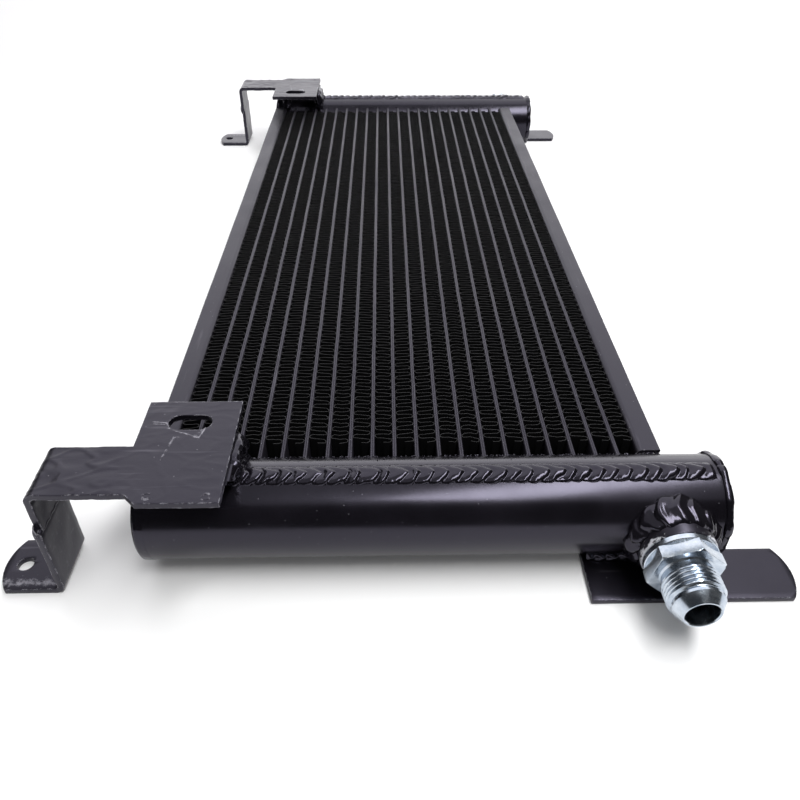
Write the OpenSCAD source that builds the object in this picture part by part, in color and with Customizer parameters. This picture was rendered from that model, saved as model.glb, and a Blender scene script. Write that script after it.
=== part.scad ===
// Air-cooled hydraulic oil cooler: a brazed core of flat oil tubes and corrugated air fins
// between two welded round tanks, with welded steel-bar brackets and a screwed-in port at each end.
// X runs across the core, Y runs along the oil tubes, Z is up. The origin is at the centre of the
// footprint, on the surface that the feet stand on. "Near" is the -Y end and "far" is the +Y end.

/* [Core] */
// Number of flat oil tubes across the core
tube_count = 20; // [8:1:20]
// Distance between the centres of neighbouring tubes
tube_pitch = 11.45; // [10:0.05:11.45]
// Thickness of a flat tube
tube_t = 2.4; // [2:0.1:3]
// Depth of a flat tube, from its lower edge to its upper edge
tube_depth = 38; // [34:1:38]
// Wall of a flat tube
tube_wall = 0.45; // [0.3:0.05:0.5]
// How far the air fins reach along the tubes
finned_l = 550; // [200:10:700]
// From each tank's axis to the first air fin
fin_setback = 28; // [27:0.5:40]
// Distance along the tube from one fin leg to the next
fin_step = 6.4; // [4:0.1:10]
// Thickness of the fin strip
fin_t = 0.2; // [0.15:0.05:0.4]
// How far the fins stay below the tubes' upper and lower edges
fin_inset = 0.5; // [0:0.1:2]

/* [Side channels] */
// Height of a side channel over its flanges
channel_h = 39; // [36:0.5:39]
// Width of a channel's flanges
channel_flange = 12; // [8:0.5:14]
// Thickness of the channel's sheet
channel_t = 2; // [1.5:0.1:3]
// Outer radius of the channel's two bends
channel_bend = 3; // [2.1:0.1:4]

/* [Tanks] */
// Outside diameter of the round tanks
tank_od = 50; // [50:0.5:52]
// Wall of the tank's two half shells
tank_wall = 3; // [2:0.1:3]
// From the core's centre to the outside of the left end caps
tank_left = 131.5; // [131.5:0.5:140]
// From the core's centre to the outside of the right end caps
tank_right = 155; // [154:0.5:165]
// Thickness of an end cap
cap_t = 4; // [3:0.5:6]
// Radius round the rim of an end cap
cap_round = 3; // [1:0.5:3]
// How far the seam lies in front of the tank's top and bottom lines, in degrees
seam_angle = 10; // [0:1:20]

/* [Ports] */
// From the core's centre to the axis of each port
port_x = 128.4; // [120:0.2:129]
// From the tank's axis to the outer face of the boss
boss_reach = 35; // [32:0.5:38]
// Outside diameter of the boss
boss_od = 36; // [36:0.5:40]
// Major diameter of the port's male thread, 1-1/16 inch with 12 threads to the inch
thread_d = 26.99; // [26.99]
// Size of the adapter's hexagon across its flats
hex_af = 31.75; // [31.75]
// Turn of the hexagon about the port's axis, in degrees
hex_turn = 19; // [0:1:59]
// Bore through the adapter
port_bore = 15.5; // [12:0.5:16]

/* [Brackets] */
// Thickness of the flat bar that the brackets are cut from
bar_t = 3.2; // [3:0.1:4]
// Width of the flat bar
bar_w = 31.8; // [28:0.1:32]
// Height of the top bracket's upper face above the ground
bracket_top = 66.2; // [64:0.1:72]
// From the core's centre to the right edge of the bracket plate
plate_right = 83.5; // [78:0.5:88]
// From the core's centre to the left edge of the bracket plate
plate_left = 130.8; // [126:0.2:134]
// How far the bracket plate reaches outward from the tank's axis, away from the core
plate_front = 32; // [30:0.5:36]
// How far the bracket plate reaches over the core
plate_back = 39.3; // [36:0.1:44]
// How far the arm's edge lies outward from the tank's axis
arm_front = 26.4; // [24:0.2:28]
// From the core's centre to the outer face of the leg
leg_x = 172.4; // [168:0.2:180]
// Inner radius of the bends in the bar
bend_in = 2; // [1:0.5:4]
// Height at which the upper and the lower leg are butted and welded
leg_joint = 42; // [36:1:46]
// How far the foot's edge lies outward from the tank's axis
foot_front = 29.5; // [28:0.1:31]
// From the core's centre to the tip of the foot
foot_reach = 204; // [200:0.5:210]
// Radius of the cut ends of the foot and the lower plate
end_radius = 28; // [20:1:40]
// Diameter of the bolt hole in the foot
foot_hole = 8; // [6:0.5:10]
// From the tip of the foot to the centre of its hole
foot_hole_in = 9.7; // [8:0.1:14]
// Width of the slot in the bracket plate
slot_w = 11; // [8:0.5:12]
// Length of the slot, end to end
slot_l = 21.5; // [16:0.5:26]
// From the tank's axis to the middle of the slot, over the core
slot_back = 22.8; // [20:0.1:26]

/* [Lower plate] */
// From the core's centre to the plate's inner edge
lower_in = 90; // [85:0.5:95]
// From the core's centre to the tip of the plate's rounded end
lower_reach = 195; // [190:0.5:205]
// How far the plate's edge lies outward from the tank's axis
lower_front = 40.5; // [38:0.5:44]
// Width of the plate's bar
lower_w = 31; // [28:0.5:32]
// Width of the tab that runs under the tank, along X
lower_tab = 47.3; // [40:0.1:50]
// How far the tab reaches past the tank's axis towards the core
lower_back = 20; // [10:0.5:24]

/* [Hidden] */
$fn = 64;
tank_r = tank_od / 2;
tank_in = tank_r - tank_wall;
tank_z = bar_t + tank_r;
tank_y = finned_l / 2 + fin_setback;
core_x = (foot_reach - lower_reach) / 2;
seam_y = tank_r * sin(seam_angle);
tube_end = 10;
tube_r = tube_t / 2;
stack_half = (tube_count + 1) * tube_pitch / 2 - tube_r;
fin_w = tube_pitch - tube_t;
fin_legs = round(finned_l / fin_step);
shell_left = -tank_left + cap_t;
shell_right = tank_right - cap_t;

// stations of the adapter, measured outward from the face of the boss
collar_l = 3.2;
hex_l = 7;
relief_l = 3.5;
thread_l = 11.4;
nose_neck_l = 2.2;
nose_cone_l = 4.8;
hex_start = collar_l;
hex_end = hex_start + hex_l;
thread_start = hex_end + relief_l;
neck_start = thread_start + thread_l;
cone_start = neck_start + nose_neck_l;
tip = cone_start + nose_cone_l;
thread_root_r = 12.1;
cone_tip_r = 8.7;
collar_r = 17.6;
hex_r = hex_af / 2 / cos(30);
hex_front_r = 17.4;
stud_l = 13.4;
stud_neck_l = 3.2;
stud_r = thread_d / 2;
boss_bore_r = stud_r + 0.05;
seal_section_r = 1.4;
seal_mid_r = thread_root_r - 0.2 + seal_section_r;
seal_seat_r = seal_mid_r + seal_section_r + 0.1;

// weld beads
seam_bead_w = 10.6;
seam_bead_h = 1.6;
rim_bead_w = 6;
rim_bead_h = 1.2;
boss_fillet = 5;
leg_bead_w = 10;
leg_bead_h = 0.9;
plate_fillet = 4;

// stand-off webs between the tank and the bracket plate
web_t = 3.2;
web_proud = 1.4;
web_outer_y = -22;
web_inner_y = 4;
web_toe_y = 18;
web_root_y = -6;
web_right_x = -plate_right + web_proud;
web_left_x = -plate_left + web_t + 10;

paint = "#4a4850";
fin_black = "#1c1c1f";
zinc = "#b9c3cc";
bare_metal = "#8d8f93";
nitrile = "#101011";

TUBE_NAMES = [for (i = [1 : tube_count]) str("oil_tube_", i < 10 ? "0" : "", i)];

// Places a shape that is drawn about the near tank: X from the core's centre, Y from the tank's axis
module near() {
    translate([core_x, -tank_y, 0]) children();
}

// The far end is the near end's mirror image
module far() {
    mirror([0, 1, 0]) near() children();
}

// Extrudes a Y-Z outline along X
module along_x(x0, x1) {
    translate([x0, 0, 0]) rotate([90, 0, 90]) linear_extrude(x1 - x0) children();
}

// Extrudes an X-Z outline along Y
module along_y(y0, y1) {
    translate([0, y1, 0]) rotate([90, 0, 0]) linear_extrude(y1 - y0) children();
}

// Turns a shape drawn up Z to point outward along the port's axis, with z = 0 at the boss's face
module on_port() {
    translate([port_x, -boss_reach, tank_z]) rotate([90, 0, 0]) children();
}

module tank_cylinder(r, x0 = -tank_left - 20, x1 = tank_right + 20) {
    translate([x0, 0, tank_z]) rotate([0, 90, 0]) cylinder(h = x1 - x0, r = r);
}

// Y-Z ring of the tank's wall, kept on one side of the seam plane
module half_ring(front) {
    intersection() {
        translate([0, tank_z]) difference() {
            circle(tank_r);
            circle(tank_in);
        }
        if (front) translate([-2 * tank_r - seam_y, 0]) square([2 * tank_r, 3 * tank_r]);
        else translate([-seam_y, 0]) square([2 * tank_r, 3 * tank_r]);
    }
}

module tank_shell() {
    difference() {
        along_x(shell_left, shell_right) half_ring(true);
        translate([port_x, 0, tank_z]) rotate([90, 0, 0]) cylinder(h = 2 * tank_r, r = boss_bore_r);
    }
}

// X-Z outline of a flat tube, grown outward by the given amount
module tube_outline(grow = 0) {
    r = tube_r + grow;
    straight = tube_depth / 2 - tube_r;
    translate([-r, tank_z - straight]) square([2 * r, 2 * straight]);
    for (side = [-1, 1]) translate([0, tank_z + side * straight]) circle(r);
}

function tube_x(i) = (i - (tube_count - 1) / 2) * tube_pitch;

module header() {
    difference() {
        along_x(shell_left, shell_right) half_ring(false);
        for (i = [0 : tube_count - 1])
            translate([tube_x(i), 0, 0]) along_y(0, 2 * tank_r) tube_outline();
    }
}

// Round cap with its outer face at z = 0 and its flat inner face at z = cap_t
module end_cap() {
    rotate_extrude() {
        square([tank_r - cap_round, cap_t]);
        translate([0, cap_round]) square([tank_r, cap_t - cap_round]);
        intersection() {
            translate([tank_r - cap_round, cap_round]) circle(cap_round);
            square([tank_r, cap_t]);
        }
    }
}

module left_cap() {
    translate([-tank_left, 0, tank_z]) rotate([0, 90, 0]) end_cap();
}

module right_cap() {
    translate([tank_right, 0, tank_z]) rotate([0, -90, 0]) end_cap();
}

// X-Z section of the right side channel: a web against the fins and two flanges pointing outward
module channel_section() {
    inner_bend = channel_bend - channel_t;
    translate([stack_half, tank_z - channel_h / 2]) difference() {
        union() {
            translate([channel_bend, 0]) square([channel_flange - channel_bend, channel_h]);
            translate([0, channel_bend]) square([channel_flange, channel_h - 2 * channel_bend]);
            for (z = [channel_bend, channel_h - channel_bend])
                translate([channel_bend, z]) circle(channel_bend);
        }
        translate([channel_bend, channel_t])
            square([channel_flange, channel_h - 2 * channel_t]);
        translate([channel_t, channel_bend])
            square([channel_flange, channel_h - 2 * channel_bend]);
        for (z = [channel_bend, channel_h - channel_bend])
            translate([channel_bend, z]) circle(inner_bend);
    }
}

// A side channel whose ends are cut to the round of the tanks
module side_channel() {
    reach = tank_y - sqrt(pow(tank_r, 2) - pow(channel_h / 2, 2)) - 3;
    difference() {
        along_y(-reach, reach) channel_section();
        for (side = [-1, 1])
            translate([0, side * tank_y, 0]) tank_cylinder(tank_r);
    }
}

// Width along X of a slanting leg of sheet t thick, in a strip w wide with a leg every step
function leg_width(t, w, step) = t * sqrt(w * w + step * step) / step;

// One corrugated strip that fills the gap between two tubes, drawn about X = 0
fin_leg = leg_width(fin_t, fin_w, fin_step);
function fin_point(k, side) = [
    ((k % 2 == 0 ? -1 : 1) * (fin_w - fin_leg) + side * fin_leg) / 2,
    (k - fin_legs / 2) * fin_step
];

module fin_strip() {
    lower = tank_z - tube_depth / 2 + fin_inset;
    translate([0, 0, lower]) linear_extrude(tube_depth - 2 * fin_inset) polygon(concat(
        [for (k = [0 : fin_legs]) fin_point(k, -1)],
        [for (k = [fin_legs : -1 : 0]) fin_point(k, 1)]
    ));
}

// Corrugated strip inside an oil tube, which stirs the oil
turb_t = 0.2;
turb_w = tube_t - 2 * tube_wall;
turb_folds = 12;
turb_h = tube_depth - 2 * tube_wall - 2;
turb_leg = leg_width(turb_t, turb_w, turb_h / turb_folds);
function turb_point(k, side) = [
    ((k % 2 == 0 ? -1 : 1) * (turb_w - turb_leg) + side * turb_leg) / 2,
    tank_z + (k / turb_folds - 0.5) * turb_h
];

module turbulator() {
    reach = tank_y - tube_end - 4;
    along_y(-reach, reach) polygon(concat(
        [for (k = [0 : turb_folds]) turb_point(k, -1)],
        [for (k = [turb_folds : -1 : 0]) turb_point(k, 1)]
    ));
}

module oil_tube(i) {
    reach = tank_y - tube_end;
    color(paint) translate([core_x + tube_x(i), 0, 0]) difference() {
        along_y(-reach, reach) tube_outline();
        along_y(-reach - 1, reach + 1) tube_outline(-tube_wall);
    }
}

// Boss that is saddled on the tank's wall and bored for the adapter's stud
module port_boss() {
    difference() {
        on_port() translate([0, 0, -boss_reach]) cylinder(h = boss_reach, r = boss_od / 2);
        tank_cylinder(tank_r);
        on_port() translate([0, 0, -boss_reach - 1]) cylinder(h = boss_reach + 2, r = boss_bore_r);
        on_port() translate([0, 0, -stud_neck_l]) cylinder(h = stud_neck_l + 1, r = seal_seat_r);
    }
}

// Straight adapter: stud into the boss, collar, hexagon, thread land and 37 degree nose
module port_adapter() {
    on_port() difference() {
        union() {
            translate([0, 0, -stud_l]) cylinder(h = stud_l - stud_neck_l, r = stud_r);
            translate([0, 0, -stud_neck_l]) cylinder(h = stud_neck_l + collar_l, r = thread_root_r - 0.2);
            cylinder(h = collar_l, r = collar_r);
            intersection() {
                rotate(hex_turn) translate([0, 0, hex_start]) cylinder(h = hex_l, r = hex_r, $fn = 6);
                cylinder(h = hex_end, r1 = hex_front_r + hex_end / tan(30), r2 = hex_front_r);
            }
            translate([0, 0, hex_end]) cylinder(h = relief_l, r = thread_root_r);
            translate([0, 0, thread_start]) cylinder(h = thread_l, r = thread_d / 2);
            translate([0, 0, neck_start]) cylinder(h = nose_neck_l, r = thread_root_r);
            translate([0, 0, cone_start]) cylinder(h = nose_cone_l, r1 = thread_root_r, r2 = cone_tip_r);
        }
        translate([0, 0, -stud_l - 1]) cylinder(h = stud_l + tip + 2, d = port_bore);
    }
}

module port_seal() {
    on_port() translate([0, 0, -stud_neck_l / 2])
        rotate_extrude() translate([seal_mid_r, 0]) circle(seal_section_r);
}

// A quarter bend in the bar, drawn in the X-Z plane about the bend's centre, over the bar's width
module bar_bend(front, turn) {
    translate([0, -front, 0]) rotate([-90, 0, 0]) rotate(turn) linear_extrude(bar_w) difference() {
        circle(bend_in + bar_t);
        circle(bend_in);
        translate([-20, -20]) square([20, 40]);
        translate([-20, -20]) square([40, 20]);
    }
}

// Plate with its slot, arm, bend and the upper part of the leg
module top_bracket() {
    under = bracket_top - bar_t;
    bend_x = -leg_x + bar_t + bend_in;
    bend_z = under - bend_in;
    arm_back = bar_w - arm_front;
    cut = plate_front - arm_front;
    slot_x = -(plate_left + plate_right) / 2;
    slot_half = (slot_l - slot_w) / 2;
    translate([0, 0, under]) linear_extrude(bar_t) difference() {
        polygon([
            [-plate_right, -plate_front],
            [-plate_right, plate_back],
            [-plate_left, plate_back],
            [-plate_left, arm_back],
            [bend_x, arm_back],
            [bend_x, -arm_front],
            [-plate_left + 4, -arm_front],
            [-plate_left + 4 + cut, -plate_front]
        ]);
        translate([slot_x - slot_half, slot_back - slot_w / 2]) square([2 * slot_half, slot_w]);
        for (side = [-1, 1]) translate([slot_x + side * slot_half, slot_back]) circle(d = slot_w);
    }
    translate([bend_x, 0, bend_z]) bar_bend(arm_front, 180);
    translate([-leg_x, -arm_front, leg_joint + 0.8])
        cube([bar_t, bar_w, bend_z - leg_joint - 0.8]);
}

// X-Y outline of a bar with a round-cut tip at X = reach
module round_ended_bar(start, reach, front, width) {
    intersection() {
        translate([start, -front]) square([reach - start, width]);
        union() {
            translate([reach - end_radius, width / 2 - front]) circle(end_radius);
            translate([start, -front]) square([max(0.1, reach - end_radius - start), width]);
        }
    }
}

// Lower part of the leg, bend and foot with its bolt hole
module foot() {
    bend_x = leg_x + bend_in;
    bend_z = bar_t + bend_in;
    translate([-leg_x, -foot_front, bend_z]) cube([bar_t, bar_w, leg_joint - 0.8 - bend_z]);
    translate([-bend_x, 0, bend_z]) bar_bend(foot_front, 0);
    linear_extrude(bar_t) difference() {
        mirror([1, 0, 0]) round_ended_bar(bend_x, foot_reach, foot_front, bar_w);
        translate([-foot_reach + foot_hole_in, bar_w / 2 - foot_front]) circle(d = foot_hole);
    }
}

// Y-Z outline of a stand-off web, from the bracket plate down to the tank
module web_outline() {
    under = bracket_top - bar_t;
    difference() {
        polygon([
            [web_outer_y, under],
            [web_inner_y, under],
            [web_toe_y, tank_z + 17],
            [web_root_y, tank_z + 17],
            [web_root_y, tank_z + tank_r - 1]
        ]);
        translate([0, tank_z]) circle(tank_r);
    }
}

module bracket_webs() {
    for (x = [web_left_x, web_right_x]) along_x(x - web_t, x) web_outline();
}

// Plate under the tank with a round-ended arm past the tank's right end
module lower_plate() {
    linear_extrude(bar_t) union() {
        round_ended_bar(lower_in, lower_reach, lower_front, lower_w);
        translate([lower_in, -lower_front]) square([lower_tab, lower_front + lower_back]);
    }
}

// A low round-backed bead on a circle of radius r: distance of its centre from the circle's centre
function bead_centre(r, w, h) =
    (pow(r + h, 2) - pow(r, 2)) / 2 / (r + h - sqrt(pow(r, 2) - pow(w / 2, 2)));

// The two beads along the seam, above and below
module seam_welds() {
    d = bead_centre(tank_r, seam_bead_w, seam_bead_h);
    ends = rim_bead_w / 2;
    difference() {
        for (up = [-1, 1])
            along_x(shell_left + ends, shell_right - ends)
                translate([-d * sin(seam_angle), tank_z + up * d * cos(seam_angle)])
                    circle(tank_r + seam_bead_h - d);
        tank_cylinder(tank_r);
        bracket_webs();
        translate([lower_in - 6, -tank_r, -1]) cube([lower_tab + 12, 2 * tank_r, tank_z / 2]);
    }
}

// A bead round the tank at each end cap
module cap_welds() {
    d = bead_centre(tank_r, rim_bead_w, rim_bead_h);
    for (x = [shell_left, shell_right])
        translate([x, 0, tank_z]) rotate([0, 90, 0]) rotate_extrude() difference() {
            translate([d, 0]) circle(tank_r + rim_bead_h - d);
            translate([0, -tank_r]) square([tank_r, 2 * tank_r]);
        }
}

// Fillet between the boss and the tank, which follows the saddle line
module boss_weld() {
    difference() {
        intersection() {
            on_port() translate([0, 0, -boss_reach]) cylinder(h = boss_reach, r = boss_od / 2 + boss_fillet);
            tank_cylinder(tank_r + boss_fillet, port_x - tank_r, shell_right + cap_t);
        }
        tank_cylinder(tank_r);
        on_port() translate([0, 0, -boss_reach]) cylinder(h = boss_reach + 1, r = boss_od / 2);
        cap_welds();
    }
}

// Bead on the outside of the butt joint between the upper and the lower leg; inside it is ground flush
module leg_weld() {
    out = leg_bead_h;
    half = leg_bead_w / 2;
    difference() {
        along_y(-foot_front, bar_w - arm_front) polygon([
            [-leg_x - out, leg_joint - half / 2],
            [-leg_x, leg_joint - half],
            [-leg_x + bar_t, leg_joint - half],
            [-leg_x + bar_t, leg_joint + half],
            [-leg_x, leg_joint + half],
            [-leg_x - out, leg_joint + half / 2]
        ]);
        top_bracket();
        foot();
    }
}

// Fillets between the tank and the lower plate, in front of and behind the line of contact
module plate_welds() {
    y = sqrt(pow(tank_r, 2) - pow(tank_r - plate_fillet, 2));
    difference() {
        for (side = [-1, 1])
            along_x(lower_in + 2, lower_in + lower_tab - 2)
                translate([side * (y - 2), bar_t]) scale([side, 1])
                    polygon([[-5, 0], [4, 0], [1.2, plate_fillet], [-5, plate_fillet]]);
        tank_cylinder(tank_r);
    }
}

module near_tank_shell() { color(paint) near() tank_shell(); }
module far_tank_shell() { color(paint) far() tank_shell(); }
module near_header() { color(paint) near() header(); }
module far_header() { color(paint) far() header(); }
module near_left_cap() { color(paint) near() left_cap(); }
module near_right_cap() { color(paint) near() right_cap(); }
module far_left_cap() { color(paint) far() left_cap(); }
module far_right_cap() { color(paint) far() right_cap(); }
module left_side_channel() {
    color(paint) translate([core_x, 0, 0]) mirror([1, 0, 0]) side_channel();
}
module right_side_channel() {
    color(paint) translate([core_x, 0, 0]) side_channel();
}
module air_fins() {
    color(fin_black) for (i = [0 : tube_count])
        translate([core_x + tube_x(i - 0.5), 0, 0]) fin_strip();
}
module turbulators() {
    color(bare_metal) for (i = [0 : tube_count - 1])
        translate([core_x + tube_x(i), 0, 0]) turbulator();
}
module near_port_boss() { color(paint) near() port_boss(); }
module far_port_boss() { color(paint) far() port_boss(); }
module near_port_adapter() { color(zinc) near() port_adapter(); }
module far_port_adapter() { color(zinc) far() port_adapter(); }
module near_port_seal() { color(nitrile) near() port_seal(); }
module far_port_seal() { color(nitrile) far() port_seal(); }
module near_top_bracket() { color(paint) near() top_bracket(); }
module far_top_bracket() { color(paint) far() top_bracket(); }
module near_foot() { color(paint) near() foot(); }
module far_foot() { color(paint) far() foot(); }
module near_bracket_webs() { color(paint) near() bracket_webs(); }
module far_bracket_webs() { color(paint) far() bracket_webs(); }
module near_lower_plate() { color(paint) near() lower_plate(); }
module far_lower_plate() { color(paint) far() lower_plate(); }
module near_seam_welds() { color(paint) near() seam_welds(); }
module far_seam_welds() { color(paint) far() seam_welds(); }
module near_cap_welds() { color(paint) near() cap_welds(); }
module far_cap_welds() { color(paint) far() cap_welds(); }
module near_boss_weld() { color(paint) near() boss_weld(); }
module far_boss_weld() { color(paint) far() boss_weld(); }
module near_leg_weld() { color(paint) near() leg_weld(); }
module far_leg_weld() { color(paint) far() leg_weld(); }
module near_plate_welds() { color(paint) near() plate_welds(); }
module far_plate_welds() { color(paint) far() plate_welds(); }

near_tank_shell();
far_tank_shell();
near_header();
far_header();
near_left_cap();
near_right_cap();
far_left_cap();
far_right_cap();
left_side_channel();
right_side_channel();
air_fins();
turbulators();
for (i = [0 : tube_count - 1])
    oil_tube(i);
near_port_boss();
far_port_boss();
near_port_adapter();
far_port_adapter();
near_port_seal();
far_port_seal();
near_top_bracket();
far_top_bracket();
near_foot();
far_foot();
near_bracket_webs();
far_bracket_webs();
near_lower_plate();
far_lower_plate();
near_seam_welds();
far_seam_welds();
near_cap_welds();
far_cap_welds();
near_boss_weld();
far_boss_weld();
near_leg_weld();
far_leg_weld();
near_plate_welds();
far_plate_welds();
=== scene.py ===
import math
import bmesh
import bpy
from mathutils import Matrix, Vector, noise


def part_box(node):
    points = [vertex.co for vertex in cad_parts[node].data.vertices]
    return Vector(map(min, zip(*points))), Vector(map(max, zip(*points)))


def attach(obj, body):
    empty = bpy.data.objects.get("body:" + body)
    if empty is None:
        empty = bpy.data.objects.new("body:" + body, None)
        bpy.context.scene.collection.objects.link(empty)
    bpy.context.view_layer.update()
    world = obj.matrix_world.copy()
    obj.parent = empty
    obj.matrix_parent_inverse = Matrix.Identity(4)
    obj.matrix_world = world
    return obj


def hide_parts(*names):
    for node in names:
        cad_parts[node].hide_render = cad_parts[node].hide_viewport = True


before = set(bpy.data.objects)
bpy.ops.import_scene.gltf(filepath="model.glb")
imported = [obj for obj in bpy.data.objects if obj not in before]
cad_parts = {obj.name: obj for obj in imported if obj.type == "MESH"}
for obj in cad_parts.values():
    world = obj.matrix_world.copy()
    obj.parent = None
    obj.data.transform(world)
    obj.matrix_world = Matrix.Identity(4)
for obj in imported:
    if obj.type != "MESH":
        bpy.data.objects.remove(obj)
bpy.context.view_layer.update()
scene = bpy.context.scene
print("frame loaded:", len(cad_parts), "nodes")

# the camera stands low over the near tank and looks along the tubes
viewPoint = {"place": (-0.004634, -0.55630, 0.29978), "yaw": 0.0222138, "pitch": 0.6748475,
             "roll": -0.0046781, "lens": 32.58, "sensor": 36.0}
yaw, pitch, roll = viewPoint["yaw"], viewPoint["pitch"], viewPoint["roll"]
ahead = Vector((math.sin(yaw) * math.cos(pitch), math.cos(yaw) * math.cos(pitch), -math.sin(pitch)))
level = Vector((math.cos(yaw), -math.sin(yaw), 0))
drop = ahead.cross(level)
across = math.cos(roll) * level + math.sin(roll) * drop
down = math.cos(roll) * drop - math.sin(roll) * level
camera = bpy.data.objects.new("camera", bpy.data.cameras.new("camera"))
camera.data.lens = viewPoint["lens"]
camera.data.sensor_width = viewPoint["sensor"]
camera.data.clip_start = 0.01
turned = Matrix((across, -down, -ahead)).transposed().to_4x4()
turned.translation = Vector(viewPoint["place"])
camera.matrix_world = turned
scene.collection.objects.link(camera)
scene.camera = camera

# places come from the frame, in millimetres: X from the core's centre, Y from the tank's own axis
mm = 0.001
capLow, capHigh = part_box("near_left_cap")
finLow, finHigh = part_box("air_fins")
tank = {
    "radius": (capHigh.z - capLow.z) / 2 / mm,
    "axisZ": (capHigh.z + capLow.z) / 2 / mm,
    "axisY": -(capHigh.y + capLow.y) / 2 / mm,
    "wall": 3.0,
    "seamAngle": 10.0,      # degrees in front of the top line
    "dent": 0.07,
    "dentLength": 26,
    "dentTurn": 1.3,
    "around": 96,           # points round a cap, a boss or a seal
}
coreX = (finLow.x + finHigh.x) / 2 / mm
tank["left"] = capLow.x / mm - coreX
tank["shellLeft"] = capHigh.x / mm - coreX
tank["right"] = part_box("near_right_cap")[1].x / mm - coreX
tank["shellRight"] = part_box("near_right_cap")[0].x / mm - coreX
print("tank radius", round(tank["radius"], 2), "axis", round(tank["axisY"], 2), round(tank["axisZ"], 2))


def hexColour(code):
    # sRGB hex to the linear values that shaders take
    parts = [int(code[i:i + 2], 16) / 255 for i in (1, 3, 5)]
    return [c / 12.92 if c <= 0.04045 else ((c + 0.055) / 1.055) ** 2.4 for c in parts] + [1.0]


def addNode(tree, kind, inputs=None, **settings):
    # one node with its settings; an input is a number, or a node or socket to link from
    node = tree.nodes.new(kind)
    for key, value in settings.items():
        setattr(node, key, value)
    for key, value in (inputs or {}).items():
        if isinstance(value, bpy.types.Node):
            value = value.outputs[0]
        if isinstance(value, bpy.types.NodeSocket):
            tree.links.new(value, node.inputs[key])
        else:
            node.inputs[key].default_value = value
    return node


def newMaterial(name):
    material = bpy.data.materials.new(name)
    material.use_nodes = True
    return material, material.node_tree, material.node_tree.nodes["Principled BSDF"]


def setRamp(node, *stops):
    # stops are (position, hex colour)
    ramp = node.color_ramp
    while len(ramp.elements) < len(stops):
        ramp.elements.new(0.5)
    for element, (place, code) in zip(ramp.elements, stops):
        element.position = place
        element.color = hexColour(code)


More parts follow.
